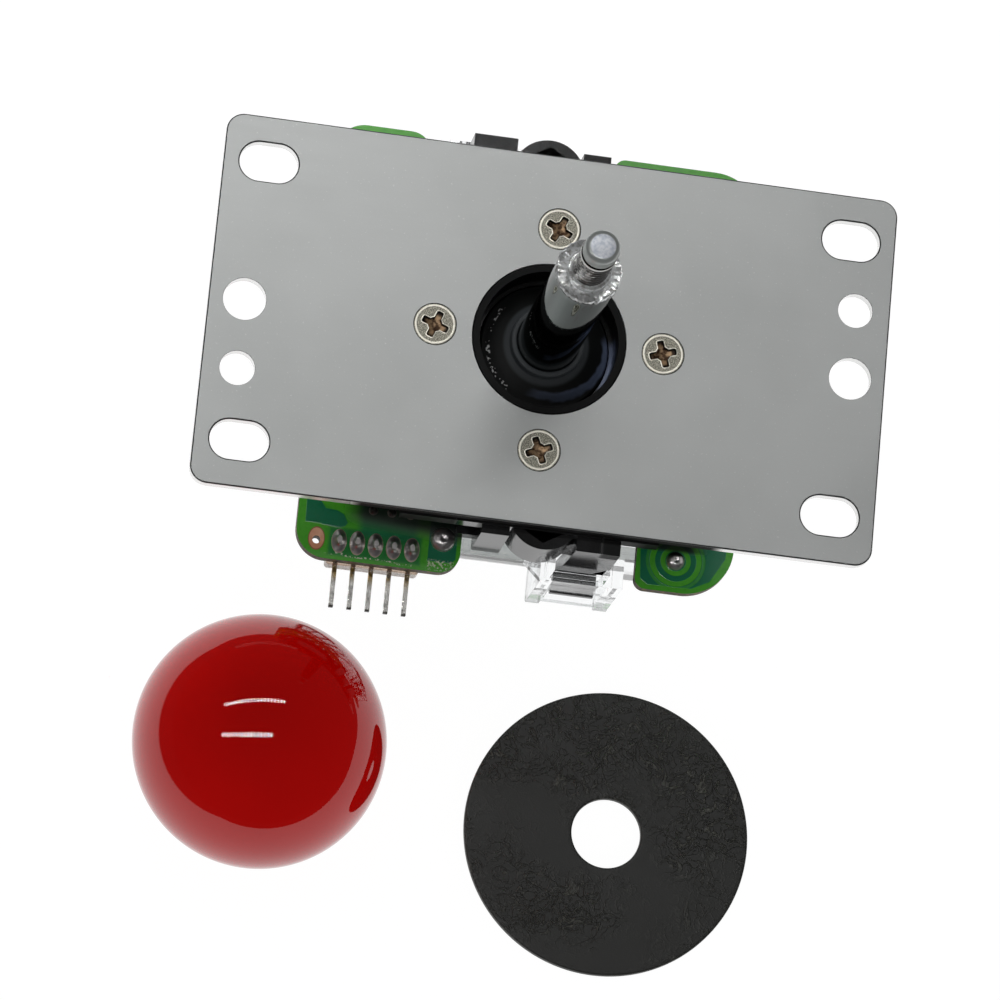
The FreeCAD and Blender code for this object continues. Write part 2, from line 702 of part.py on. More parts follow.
BOARD_FOOT = "skirt_foot + board_thick"
for place, turn in TURNS.items():
    case = new_body("switch_case_" + place)
    middle = "case_wide / 2"
    body_outline = rectangle(
        new_sketch(case, BOARD_FOOT), "case_front", f"0 - {middle}",
        "case_front + case_deep", middle,
    )
    pad(case, body_outline, "case_thick")
    dress(case, "Chamfer", "case_edge", upright)
    through = new_sketch(case, BOARD_FOOT)
    for side in (-1, 1):
        circle(through, "case_front + case_hole_back", f"{side} * case_hole_pitch / 2", "case_hole")
    pocket(case, through, "case_thick")
    guide = circle(
        new_sketch(case, "0 - case_front", "YZ"), "0", "0 - plunger_level",
        "2 * plunger_radius + 2 * plunger_gap",
    )
    sunk = "plunger_tip + plunger_length + plunger_travel + plunger_gap - case_front"
    bind(feature(case, "Pocket", guide), Length=sunk).Reversed = True
    case.Placement = FreeCAD.Placement(FreeCAD.Vector(), FreeCAD.Rotation(turn, 0, 0))

    plunger = new_body("switch_plunger_" + place)
    round_bar = circle(
        new_sketch(plunger, "0 - plunger_tip", "YZ"), "0", "0 - plunger_level",
        "2 * plunger_radius",
    )
    bind(feature(plunger, "Pad", round_bar), Length="plunger_length")
    tip = value("plunger_tip")
    dress(plunger, "Fillet", "plunger_dome", lambda edge: edge.BoundBox.XMax < tip + 0.01)
    plunger.Placement = FreeCAD.Placement(FreeCAD.Vector(), FreeCAD.Rotation(turn, 0, 0))

legs = []
for number, ((across, up), turn) in enumerate(LEG_SPOTS):
    leg = block(
        f"switch_leg_{number}", "0 - leg_thick / 2", "0 - leg_wide / 2", BOARD_FOOT,
        "leg_thick", "leg_wide", f"{BOARD_FOOT} - leg_top",
    )
    piece = joined("Compound", f"switch_leg_piece_{number}", [leg])
    legs.append(set_at(piece, across, up, turn))
joined("Compound", "switch_terminals", legs)

# Pin header: a square bar of clear beige plastic under the board's edge, with
# right-angled square pins that rise through the board

pins = []
for number, across in enumerate(PIN_ROW):
    west = f"{across} - pin_side / 2"
    bar_foot = f"{BOARD_FOOT} + base_tall / 2 + pin_side / 2"
    riser = block(
        f"pin_riser_{number}", west, "0 - pin_row - pin_side / 2", bar_foot,
        "pin_side", "pin_side", f"{bar_foot} - pin_top",
    )
    bar = block(
        f"pin_bar_{number}", west, "0 - pin_tip", bar_foot, "pin_side",
        "pin_tip - pin_row + pin_side / 2", "pin_side",
    )
    pins.append(joined("MultiFuse", f"pin_{number}", [riser, bar]))
joined("Compound", "header_pins", pins)

header = new_body("header_base")
middle = f"( 0 - pin_first + {PIN_COUNT - 1} * pin_pitch / 2 )"
outline = rectangle(
    new_sketch(header, BOARD_FOOT), f"{middle} - base_long / 2", "0 - base_in - base_deep",
    f"{middle} + base_long / 2", "0 - base_in",
)
pad(header, outline, "base_tall")
dress(header, "Chamfer", "base_edge", upright)
channels = new_sketch(header, plane="XZ")
for across in PIN_ROW:
    level = f"0 - ( {BOARD_FOOT} ) - base_tall / 2"
    rectangle(
        channels, f"{across} - pin_side / 2", f"{level} - pin_side / 2",
        f"{across} + pin_side / 2", f"{level} + pin_side / 2",
    )
bind(feature(header, "Pocket", channels), Length="2 * pin_tip").Midplane = True

# Solder: a cone round each pin and terminal, and round blobs over the other
# plated holes, all on the board's top face

cones = []


def solder_cone(number, across, up, wide, tip):
    cone = primitive(
        "Cone", f"solder_cone_{number}", Radius1=f"{wide} / 2", Radius2=f"{tip} / 2",
        Height="joint_tall", Placement__Base__x=across, Placement__Base__y=up,
        Placement__Base__z="0 - skirt_foot",
    )
    cones.append(cone)


for across in PIN_ROW:
    solder_cone(len(cones), across, "0 - pin_row", "joint_wide", "joint_tip")
for (across, up), turn in LEG_SPOTS:
    solder_cone(len(cones), across, up, "joint_wide", "joint_tip")
for k in range(SMALL_COUNT):
    across = f"0 - small_along + {k} * small_pitch"
    solder_cone(len(cones), across, "0 - small_out", "small_wide", "joint_tip")
solder_cone(len(cones), "0 - west_blob_along", "0 - west_blob_out", "blob_wide", "blob_tip")
solder_cone(len(cones), "east_blob_along", "0 - east_blob_out", "blob_wide", "blob_tip")
wires = joined("Compound", "soldered_wires", pins + legs)
joined("Cut", "solder_joints", [joined("Compound", "solder_whole", cones), wires])

# Restrictor gate: one clear moulding, a square cup under a flange, with a square
# hole for the lever's foot and a loop on two sides that snaps over a hook

gate = new_body("restrictor_gate")
FLANGE_FOOT = f"{BOARD_FOOT} + flange_thick"
cup = centred(new_sketch(gate, BOARD_FOOT), "gate_side", "gate_side")
bind(pad(gate, cup, f"gate_foot - ( {BOARD_FOOT} )"), TaperAngle="0 - gate_draft")
dress(gate, "Fillet", "gate_corner", drafted)
flange = centred(new_sketch(gate, BOARD_FOOT), "flange_long", "gate_side")
pad(gate, flange, "flange_thick")


def corner_of(length, width):
    """Says whether an upright edge is at a corner of a centred rectangle."""
    half_x, half_y = value(length) / 2, value(width) / 2

    def wanted(edge):
        middle = edge.BoundBox.Center
        return stands_at(edge, math.copysign(half_x, middle.x), math.copysign(half_y, middle.y))

    return wanted


dress(gate, "Fillet", "flange_corner", corner_of("flange_long", "gate_side"))
for side in (-1, 1):
    def along(name):
        return f"{-side} * {name}"

    def out(name):
        return f"{side} * {name}"

    wall = "( gate_side / 2 - gate_wall / 2 )"
    root = "( gate_side / 2 - gate_wall - gate_wall / 2 )"
    ear = polygon(new_sketch(gate, BOARD_FOOT), [
        (along("( 0 - ear_from )"), out(wall)), (along("loop_to"), out(wall)),
        (along("loop_to"), out("loop_out")), (along("loop_from"), out("loop_out")),
        (along("ear_to"), out("ear_out")), (along("( 0 - ear_from )"), out("ear_out")),
    ])
    pad(gate, ear, "flange_thick")
    frame = rectangle(
        new_sketch(gate, BOARD_FOOT), along("loop_from"), out("( loop_out - loop_thick )"),
        along("loop_to"), out("loop_out"),
    )
    pad(gate, frame, f"window_foot + loop_shelf - ( {BOARD_FOOT} )")
    shelf = rectangle(
        new_sketch(gate, "window_foot"), along("loop_from"), out(root),
        along("loop_to"), out("loop_out"),
    )
    pad(gate, shelf, "loop_shelf")
    for near, far in (("loop_from", "loop_from + loop_leg"), ("loop_to - loop_leg", "loop_to")):
        cheek = rectangle(
            new_sketch(gate, BOARD_FOOT), along(f"( {near} )"), out(root),
            along(f"( {far} )"), out("loop_out"),
        )
        pad(gate, cheek, f"loop_foot - ( {BOARD_FOOT} )")
    slot = rectangle(
        new_sketch(gate, BOARD_FOOT), along("( hook_from - hook_lean - hook_gap )"),
        out("gate_side / 2"), along("( hook_to + hook_gap )"), out("( hook_out + hook_gap )"),
    )
    pocket(gate, slot, f"window_foot - ( {BOARD_FOOT} )")
    window = rectangle(
        new_sketch(gate, "window_top"), along("window_from"), out("( loop_out - 2 * loop_thick )"),
        along("window_to"), out("( loop_out + loop_thick )"),
    )
    pocket(gate, window, "window_foot - window_top")


def loop_toe(edge):
    """The outer edge under each cheek of a loop."""
    box = edge.BoundBox
    at_foot = abs(box.ZMin + value("loop_foot")) < 1e-4 and box.ZLength < 1e-4
    return at_foot and abs(abs(box.Center.y) - value("loop_out")) < 0.01


dress(gate, "Fillet", "loop_round", loop_toe)
hollow = centred(
    new_sketch(gate, BOARD_FOOT), "( gate_side - 2 * gate_wall )", "( gate_side - 2 * gate_wall )"
)
bind(pocket(gate, hollow, f"gate_foot - gate_floor - ( {BOARD_FOOT} )"),
     TaperAngle="0 - gate_draft")
square = centred(new_sketch(gate, "gate_foot - gate_floor"), "square_side", "square_side")
pocket(gate, square, "gate_floor")
dress(gate, "Fillet", "square_corner", corner_of("square_side", "square_side"))

# Ball knob: a solid glossy ball that rests on the flat round its hole, with a
# brass insert moulded into it

KNOB_DROP = "sqrt( knob_radius * knob_radius - knob_flat * knob_flat )"
sphere = primitive(
    "Sphere", "knob_sphere", Radius="knob_radius", Placement__Base__z=f"{KNOB_DROP} - gate_foot"
)
under = block(
    "knob_under", "0 - knob_radius", "0 - knob_radius", "gate_foot + knob_radius",
    "2 * knob_radius", "2 * knob_radius", "knob_radius",
)
socket = primitive(
    "Cylinder", "knob_socket", Radius="insert_radius", Height="insert_length",
    Placement__Base__z="0 - gate_foot",
)
knob = joined("Cut", "ball_knob", [sphere, joined("MultiFuse", "knob_cut", [under, socket])])
set_at(knob, "0 - knob_along", "0 - knob_out")
sleeve = primitive(
    "Cylinder", "insert_sleeve", Radius="insert_radius", Height="insert_length",
    Placement__Base__z="0 - gate_foot",
)
thread = primitive(
    "Cylinder", "insert_thread", Radius="thread_radius", Height="insert_length",
    Placement__Base__z="0 - gate_foot",
)
set_at(joined("Cut", "knob_insert", [sleeve, thread]), "0 - knob_along", "0 - knob_out")

# Dust washer: a flat rubber disc with a hole for the lever

washer = new_body("dust_washer")
TOP = "gate_foot - dust_thick"
disc = circle(new_sketch(washer, TOP), "dust_along", "0 - dust_out", "2 * dust_radius")
circle(disc, "dust_along", "0 - dust_out", "2 * dust_bore")
pad(washer, disc, "dust_thick")
dress(washer, "Fillet", "dust_edge", lambda edge: edge.BoundBox.ZLength < 1e-4)

NODES = [
    "mounting_plate", "plate_screws", "plate_nuts", "housing", "pivot_ball",
    "lever_shaft", "spring_seat", "return_spring", "actuator", "retaining_clip",
    "circuit_board", "switch_terminals", "header_pins", "header_base",
    "solder_joints", "restrictor_gate", "ball_knob", "knob_insert", "dust_washer",
]
for place in TURNS:
    NODES += ["switch_case_" + place, "switch_plunger_" + place]

doc.recompute()
for thing in doc.Objects:
    if "Invalid" in thing.State or "Error" in thing.State:
        raise RuntimeError(f"{thing.Label} failed: {thing.State}")
os.makedirs("parts", exist_ok=True)
for label in NODES:
    shape = doc.getObjectsByLabel(label)[0].Shape
    if shape.isNull() or not shape.isValid() or not shape.Solids:
        raise RuntimeError(f"{label} has no valid shape")
    shape.exportStep(f"parts/{label}.step")
    print(f"{label}: {len(shape.Solids)} solids, {shape.Volume:.1f} mm3")
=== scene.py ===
import json
import math

import bmesh
import bpy
import numpy as np
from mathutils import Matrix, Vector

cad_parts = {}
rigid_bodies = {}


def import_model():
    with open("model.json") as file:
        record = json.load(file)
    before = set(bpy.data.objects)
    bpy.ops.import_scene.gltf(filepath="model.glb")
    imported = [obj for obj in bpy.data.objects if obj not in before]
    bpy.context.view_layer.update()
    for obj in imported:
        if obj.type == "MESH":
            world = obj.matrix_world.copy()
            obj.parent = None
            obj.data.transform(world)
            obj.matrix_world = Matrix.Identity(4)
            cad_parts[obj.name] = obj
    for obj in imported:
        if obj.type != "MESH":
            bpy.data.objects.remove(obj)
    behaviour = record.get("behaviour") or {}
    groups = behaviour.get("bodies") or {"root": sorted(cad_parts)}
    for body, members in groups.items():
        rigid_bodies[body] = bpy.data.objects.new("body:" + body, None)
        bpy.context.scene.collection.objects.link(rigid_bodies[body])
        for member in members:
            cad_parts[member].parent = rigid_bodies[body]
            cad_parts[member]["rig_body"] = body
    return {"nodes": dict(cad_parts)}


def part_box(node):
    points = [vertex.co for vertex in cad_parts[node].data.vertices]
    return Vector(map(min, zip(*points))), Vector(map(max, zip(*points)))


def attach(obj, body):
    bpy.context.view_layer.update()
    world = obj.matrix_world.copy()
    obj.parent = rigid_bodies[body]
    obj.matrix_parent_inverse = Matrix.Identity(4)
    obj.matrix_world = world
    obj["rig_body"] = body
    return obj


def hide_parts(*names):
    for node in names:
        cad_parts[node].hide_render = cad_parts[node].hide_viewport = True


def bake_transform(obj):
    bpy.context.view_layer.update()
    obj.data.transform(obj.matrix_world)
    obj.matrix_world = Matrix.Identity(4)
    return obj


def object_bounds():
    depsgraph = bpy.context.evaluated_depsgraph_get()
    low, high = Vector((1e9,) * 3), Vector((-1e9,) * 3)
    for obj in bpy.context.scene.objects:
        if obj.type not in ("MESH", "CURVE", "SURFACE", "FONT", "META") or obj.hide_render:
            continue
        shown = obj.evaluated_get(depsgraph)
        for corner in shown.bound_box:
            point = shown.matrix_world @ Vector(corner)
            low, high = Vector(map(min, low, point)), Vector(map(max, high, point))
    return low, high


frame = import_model()
cad_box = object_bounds()

# Studio: a white sheet on a table under a dim ceiling, with two soft lamps and two
# rows of small ones overhead. The camera looks down through a long lens, a little
# from the front. The table shows white and keeps a faint shadow.

MM = 0.001
CAMERA_PLACE = (-97.92 * MM, -221.75 * MM, 726.88 * MM)
CAMERA_TURN = (14.387, -8.680, 5.269)
CAMERA_LENS = 199.7
FLOOR_REACH = 3.0
FLOOR_GAP = 0.05 * MM
FLOOR_GLOW = 0.92
FLOOR_SHINE = 1.06
SHEET_WEST = -117 * MM
SHEET_SOUTH = -284 * MM
SHEET_NORTH = 88 * MM
SHEET_FADE = 14 * MM
PAST_SHEET = 0.06
WHITE = (1.0, 1.0, 1.0, 1.0)


class Socket:
    """One output of a shader node. Arithmetic on it adds Math nodes to its tree."""

    def __init__(self, nodes, output):
        self.nodes = nodes
        self.output = output

    def maths(self, operation, *others):
        values = dict(enumerate((self, *others)))
        return self.nodes.add("Math", {"operation": operation}, values)

    def __add__(self, other):
        return self.maths("ADD", other)

    __radd__ = __add__

    def __sub__(self, other):
        return self.maths("SUBTRACT", other)

    def __rsub__(self, other):
        return self * -1 + other

    def __mul__(self, other):
        return self.maths("MULTIPLY", other)

    __rmul__ = __mul__

    def __truediv__(self, other):
        return self.maths("DIVIDE", other)

    def __pow__(self, other):
        return self.maths("POWER", other)

    def __abs__(self):
        return self.maths("ABSOLUTE")

    def most(self, other):
        return self.maths("MAXIMUM", other)

    def rise(self, start, end):
        """0 before start and 1 past end, with a smooth step between; end may be the lower."""
        low, high = min(start, end), max(start, end)
        step = self.nodes.add(
            "MapRange", {"interpolation_type": "SMOOTHSTEP"},
            {"Value": self, "From Min": low, "From Max": high},
        )
        return step if start < end else 1 - step


class Nodes:
    """The nodes of one material, or of the world."""

    def __init__(self, tree):
        self.tree = tree
        self.tree.nodes.clear()

    def add(self, kind, settings=None, sockets=None, output=0):
        """Adds a node, sets its settings and then the values or links of its sockets."""
        node = self.tree.nodes.new("ShaderNode" + kind)
        for name, setting in (settings or {}).items():
            setattr(node, name, setting)
        for name, value in (sockets or {}).items():
            if isinstance(value, Socket):
                self.tree.links.new(value.output, node.inputs[name])
            else:
                node.inputs[name].default_value = value
        return Socket(self, node.outputs[output] if node.outputs else None)

    def all_of(self, kind, sockets=None):
        """Adds a node and gives all its outputs by name."""
        outputs = self.add(kind, None, sockets).output.node.outputs
        return {output.name: Socket(self, output) for output in outputs}

    def axes(self, vector):
        """The X, Y and Z of a vector, by name."""
        return self.all_of("SeparateXYZ", {0: vector})

    def upward(self):
        """1 where the surface looks straight up, 0 where it is upright, -1 underneath."""
        return self.axes(self.all_of("NewGeometry")["Normal"])["Z"]

    def blend(self, first, second, mask):
        """The first colour where the mask is 0 and the second where it is 1."""
        return self.add("Mix", {"data_type": "RGBA"}, {0: mask, 6: first, 7: second}, 2)

    def noise(self, place, size, detail=4.0, distortion=0.0):
        """Noise from 0 to 1 whose blotches are about size metres across."""
        sockets = {
            "Vector": place, "Scale": 1 / size, "Detail": detail, "Distortion": distortion,
        }
        return self.add("TexNoise", None, sockets)

    def stretched(self, place, x, y, z):
        return self.add("Mapping", None, {"Vector": place, "Scale": (x, y, z)})


def shown_colour(red, green, blue):
    """A colour written as a screen shows it, each channel from 0 to 255."""
    shown = np.array([red, green, blue]) / 255
    linear = np.where(shown <= 0.04045, shown / 12.92, ((shown + 0.055) / 1.055) ** 2.4)
    return (*linear.tolist(), 1.0)


def link_to_scene(name, data):
    thing = bpy.data.objects.new(name, data)
    bpy.context.collection.objects.link(thing)
    return thing


camera = link_to_scene("camera", bpy.data.cameras.new("camera"))
camera.data.lens = CAMERA_LENS
camera.location = CAMERA_PLACE
camera.rotation_euler = [math.radians(turn) for turn in CAMERA_TURN]
bpy.context.scene.camera = camera
bpy.context.scene.view_settings.view_transform = "Standard"


def table_white():
    """Lit white that also glows for the rays that a camera, a mirror or glass sends. A
    mirror sees the bare table where the sheet ends."""
    material = bpy.data.materials.new("table_white")
    material.use_nodes = True
    nodes = Nodes(material.node_tree)
    path = nodes.all_of("LightPath")
    at = nodes.axes(nodes.all_of("TexCoord")["Object"])
    on_sheet = at["X"].rise(SHEET_WEST - SHEET_FADE, SHEET_WEST)
    on_sheet = on_sheet * at["Y"].rise(SHEET_SOUTH - SHEET_FADE, SHEET_SOUTH)
    on_sheet = on_sheet * at["Y"].rise(SHEET_NORTH + SHEET_FADE, SHEET_NORTH)
    past_sheet = path["Is Glossy Ray"] * (1 - on_sheet)
    seen = path["Is Camera Ray"].most(path["Is Glossy Ray"]).most(path["Is Transmission Ray"])
    lit = nodes.add("BsdfDiffuse", None, {"Color": shown_colour(250, 250, 250)})
    strength = FLOOR_SHINE - past_sheet * (FLOOR_SHINE - PAST_SHEET)
    glow = nodes.add("Emission", None, {"Color": WHITE, "Strength": strength})
    share = (seen * FLOOR_GLOW).most(past_sheet)
    surface = nodes.add("MixShader", None, {0: share, 1: lit, 2: glow})
    nodes.add("OutputMaterial", None, {"Surface": surface})
    return material


floor_level = cad_box[0][2] - FLOOR_GAP
floor_mesh = bpy.data.meshes.new("table")
around = ((-1, -1), (1, -1), (1, 1), (-1, 1))
floor_mesh.from_pydata(
    [(x * FLOOR_REACH, y * FLOOR_REACH, floor_level) for x, y in around], [], [(0, 1, 2, 3)]
)
floor_mesh.materials.append(table_white())
link_to_scene("table", floor_mesh)

SKY_LOW = 1.10
SKY_HIGH = 0.22
CEILING = 0.05
world = bpy.data.worlds.new("studio")
bpy.context.scene.world = world
world.use_nodes = True
nodes = Nodes(world.node_tree)
path = nodes.all_of("LightPath")
height = nodes.axes(nodes.all_of("TexCoord")["Generated"])["Z"]
sky = SKY_LOW + height.rise(0.0, 0.8) * (SKY_HIGH - SKY_LOW)
inside_clear = path["Transmission Depth"].rise(0.4, 0.6)
seen = path["Is Camera Ray"].most(path["Is Transmission Ray"]).most(inside_clear)
unseen = path["Is Glossy Ray"] * CEILING + (1 - path["Is Glossy Ray"]) * sky
strength = seen + (1 - seen) * unseen
light = nodes.add("Background", None, {"Color": WHITE, "Strength": strength})
nodes.add("OutputWorld", None, {"Surface": light})

LAMPS = {
    "overhead_lamp": ((-0.12, 0.24, 0.29), 0.20, 3.1),
    "front_lamp": ((0.20, -0.55, 0.75), 0.60, 1.2),
}
LAMP_AIM = np.array([0.0, -0.01, 0.0])
for name, (place, side, power) in LAMPS.items():
    lamp = link_to_scene(name, bpy.data.lights.new(name, "AREA"))
    lamp.data.shape = "SQUARE"
    lamp.data.size = side
    lamp.data.energy = power
    lamp.location = place
    lamp.visible_glossy = False
    towards = LAMP_AIM - place
    lamp.rotation_euler = (
        math.acos(-towards[2] / np.linalg.norm(towards)), 0.0,
        math.atan2(towards[0], -towards[1]),
    )

ROW_HEIGHT = 1.80
ROWS = {
    "north_row": ((-1.564, 0.711), (0.439, 0.840), 21),
    "south_row": ((-1.505, -0.389), (0.131, -0.231), 18),
}
SMALL_LAMP = (0.020, 0.12)
SMALL_LAMP_GLOW = 70.0


def lamp_row(name, start, end, count, material):
    """A row of small flat lamps, evenly spaced on a straight line, that only mirrors see."""
    middles = np.linspace((*start, ROW_HEIGHT), (*end, ROW_HEIGHT), count)
    sides = np.array([(-1, -1, 0), (-1, 1, 0), (1, 1, 0), (1, -1, 0)]) * (*SMALL_LAMP, 0) / 2
    corners = (middles[:, None] + sides).reshape(-1, 3)
    mesh = bpy.data.meshes.new(name)
    mesh.from_pydata(corners.tolist(), [], np.arange(4 * count).reshape(-1, 4).tolist())
    mesh.materials.append(material)
    row = link_to_scene(name, mesh)
    row.visible_camera = False
    row.visible_diffuse = False
    row.visible_transmission = False
    row.visible_shadow = False


def lamp_glow():
    material = bpy.data.materials.new("lamp_glow")
    material.use_nodes = True
    nodes = Nodes(material.node_tree)
    glow = nodes.add("Emission", None, {"Color": WHITE, "Strength": SMALL_LAMP_GLOW})
    nodes.add("OutputMaterial", None, {"Surface": glow})
    return material


small_lamps = lamp_glow()
for name, (start, end, count) in ROWS.items():
    lamp_row(name, start, end, count, small_lamps)

# Mounting plate: stamped sheet steel with a satin zinc finish. Its four slots
# bolt it under the panel, and four countersunk screws hold the housing to it.

BREAK = 0.12 * MM
PLATE_BREAK = 0.17 * MM
SAME_POINT = 0.001 * MM
FLAT_ANGLE = 0.6
SHARP_ANGLE = 32.0
PLATE_FRONT = -26.0 * MM
# The plate's front wall is painted dark between these, as a reflection of the housing below.
DARK_REFLECTION_WEST = -23.5 * MM
DARK_REFLECTION_EAST = 25.0 * MM


def new_material(name):
    """A material with one glossy shader; gives its nodes, the place on the piece and a
    function that finishes it with the shader's sockets."""
    material = bpy.data.materials.new(name)
    material.use_nodes = True
    nodes = Nodes(material.node_tree)
    place = nodes.all_of("TexCoord")["Object"]

    def done(**sockets):
        named = {name.replace("_", " "): value for name, value in sockets.items()}
        shader = nodes.add("BsdfPrincipled", None, named)
        nodes.add("OutputMaterial", None, {"Surface": shader})
        return material

    return nodes, place, done


def bump(nodes, height, depth):
    """A normal from a height from 0 to 1 that stands for depth metres."""
    sockets = {"Height": height, "Distance": depth, "Strength": 1.0}
    return nodes.add("Bump", None, sockets)


def smooth_shaded(mesh, angle=SHARP_ANGLE):
    mesh.shade_smooth()
    mesh.set_sharp_from_angle(angle=math.radians(angle))


def worked(node, material, name, width=BREAK):
    """A copy of a CAD node with its doubles merged, its flat facets joined and its sharp
    edges broken by a small round."""
    piece = link_to_scene(name, frame["nodes"][node].data.copy())
    mesh = piece.data
    shape = bmesh.new()
    shape.from_mesh(mesh)
    bmesh.ops.remove_doubles(shape, verts=shape.verts, dist=SAME_POINT)
    bmesh.ops.dissolve_limit(
        shape, angle_limit=math.radians(FLAT_ANGLE), verts=shape.verts, edges=shape.edges
    )
    shape.to_mesh(mesh)
    shape.free()
    mesh.materials.clear()
    mesh.materials.append(material)
    if "custom_normal" in mesh.attributes:
        mesh.attributes.remove(mesh.attributes["custom_normal"])
    smooth_shaded(mesh)
    rounding = piece.modifiers.new("edges", "BEVEL")
    rounding.width = width
    rounding.segments = 2
    rounding.limit_method = "ANGLE"
    rounding.angle_limit = math.radians(SHARP_ANGLE)
    flat = piece.modifiers.new("flat_faces", "WEIGHTED_NORMAL")
    flat.keep_sharp = True
    fitted(piece, node)


def fitted(piece, node):
    """Puts a finished piece on the body of the node that it stands for, and hides the node."""
    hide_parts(node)
    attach(piece, frame["nodes"][node]["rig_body"])


def satin_zinc():
    """Rolled zinc on the flats and dark broken edges. The sheared walls are painted near white
    as a reflection of the white table, and the front wall over the housing is painted near
    black as a reflection of the dark housing and the shade below it."""
    nodes, place, done = new_material("satin_zinc")
    cloud = nodes.noise(place, 28 * MM, 3.0)
    grain = nodes.noise(place, 0.35 * MM, 2.0)
    rolled = nodes.noise(nodes.stretched(place, 0.05, 1.0, 1.0), 0.5 * MM, 3.0)
    base = nodes.blend(
        shown_colour(176, 178, 177), shown_colour(188, 190, 189), cloud.rise(0.3, 0.7)
    )
    sparkle = grain.rise(0.66, 0.74)
    tone = nodes.blend(base, shown_colour(226, 226, 224), sparkle * 0.35)
    upward = nodes.upward()
    broken = upward.rise(0.25, 0.45) * upward.rise(0.995, 0.95)
    tone = nodes.blend(tone, shown_colour(28, 30, 29), broken * 0.9)
    # Painted reflection: the upright walls are painted near white for the white table that they
    # face.
    painted_wall_sheen = upward.rise(0.4, 0.2)
    at = nodes.axes(place)
    # Painted reflection: over the housing the front wall is painted near black instead, for the
    # dark housing and the shade under the plate.
    painted_dark_reflection = painted_wall_sheen * at["Y"].rise(PLATE_FRONT, PLATE_FRONT - 0.3 * MM)
    painted_dark_reflection = painted_dark_reflection * at["X"].rise(DARK_REFLECTION_WEST - 2 * MM, DARK_REFLECTION_WEST)
    painted_dark_reflection = painted_dark_reflection * at["X"].rise(DARK_REFLECTION_EAST + 2 * MM, DARK_REFLECTION_EAST)
    tone = nodes.blend(tone, shown_colour(250, 250, 249), painted_wall_sheen)
    tone = nodes.blend(tone, shown_colour(24, 24, 24), painted_dark_reflection)
    rough = 0.40 + (cloud - 0.5) * 0.12 + (rolled - 0.5) * 0.10 - sparkle * 0.10
    rough = rough - painted_wall_sheen * 0.18 + painted_dark_reflection * 0.50
    relief = grain * 0.6 + rolled * 0.4
    return done(
        Base_Color=tone, Metallic=0.62, Roughness=rough, Normal=bump(nodes, relief, 0.010 * MM)
    )


worked("mounting_plate", satin_zinc(), width=PLATE_BREAK, name="steel_plate")

# Housing: one glass-filled black moulding that fills the plate's hub hole with
# its collar. Grease has crept up the wall of the bowl round the lever, painted with its wet
# highlight.

SKIRT_INSIDE = 17.0 * MM
SKIRT_OUTSIDE = 22.4 * MM
COLLAR_RADIUS = 12.0 * MM
COLLAR_FOOT = -6.0 * MM
SHELF_LEVEL = -4.4 * MM
SHELF_SOUTH = -22.0 * MM
BOSS_SIDE = 9.8 * MM
BOWL_RADIUS = 10.0 * MM
GREASE_TOP = -2.0 * MM


def distance(x, y):
    """How far a point is from the origin: the root of x squared plus y squared."""
    return (x * x + y * y) ** 0.5


def moulded_black(name, shade, roughness, grain=0.22, depth=0.004, greased_and_shaded=False):
    """Black plastic of one shade with a fine grain. Only the housing is greased and shaded: its
    collar and the shelf beside its boss are painted near black as shade and are dull, its skirt
    is dull, and pale grease with a painted wet highlight lies on the bowl's east wall."""
    nodes, place, done = new_material(name)
    skin = nodes.noise(place, grain * MM, 3.0)
    cloud = nodes.noise(place, 7 * MM, 3.0)
    tone = nodes.blend(
        shown_colour(shade, shade, shade), shown_colour(shade + 9, shade + 9, shade + 10),
        cloud.rise(0.35, 0.75),
    )
    upright = abs(nodes.upward()).rise(0.6, 0.3)
    rough = roughness + (cloud - 0.5) * 0.10 + upright * 0.05
    painted_shade = 0.0
    if greased_and_shaded:
        at = nodes.axes(place)
        out = abs(at["X"]).most(abs(at["Y"]))
        skirt = out.rise(SKIRT_INSIDE, SKIRT_INSIDE + 2 * MM)
        skirt = skirt * out.rise(SKIRT_OUTSIDE, SKIRT_OUTSIDE - 0.4 * MM)
        rough = rough + skirt * upright * 0.7
        reach = distance(at["X"], at["Y"])
        collar = reach.rise(COLLAR_RADIUS, COLLAR_RADIUS - 0.4 * MM)
        collar = collar * at["Z"].rise(COLLAR_FOOT, COLLAR_FOOT + 2 * MM)
        shelf = at["Z"].rise(SHELF_LEVEL, SHELF_LEVEL + 0.3 * MM)
        shelf = shelf * at["Y"].rise(SHELF_SOUTH, SHELF_SOUTH - 1 * MM)
        # Painted shade: the collar down in the hub hole and the shelf under the plate's edge are
        # painted near black, and made metallic so that they mirror the dim ceiling.
        painted_shade = collar.most(shelf * abs(at["X"]).rise(BOSS_SIDE, BOSS_SIDE + 0.8 * MM))
        tone = nodes.blend(tone, shown_colour(10, 11, 11), painted_shade)
        rough = rough + painted_shade * 0.35
        wave = (nodes.noise(place, 3 * MM, 2.0) - 0.5) * (1.6 * MM)
        grease = reach.rise(BOWL_RADIUS, BOWL_RADIUS - 0.1 * MM)
        grease = grease * at["X"].rise(7.6 * MM, 8.6 * MM) * at["Y"].rise(2.6 * MM, 1.2 * MM)
        grease = grease * (at["Z"] + wave).rise(GREASE_TOP, GREASE_TOP - 0.8 * MM)
        # Real grease, painted pale and bluish with its wet highlight.
        tone = nodes.blend(tone, shown_colour(112, 124, 150), grease * 0.8)
    return done(
        Base_Color=tone, Roughness=rough, Metallic=painted_shade * 0.85, IOR=1.68,
        Normal=bump(nodes, skin, depth * MM),
    )


worked("housing", moulded_black("housing_black", 16, 0.12, greased_and_shaded=True), name="black_housing")

# Screws and nuts: four countersunk machine screws with a worn cross recess, each
# stopped at its own angle, in hexagon nuts that lie in the housing's bosses.

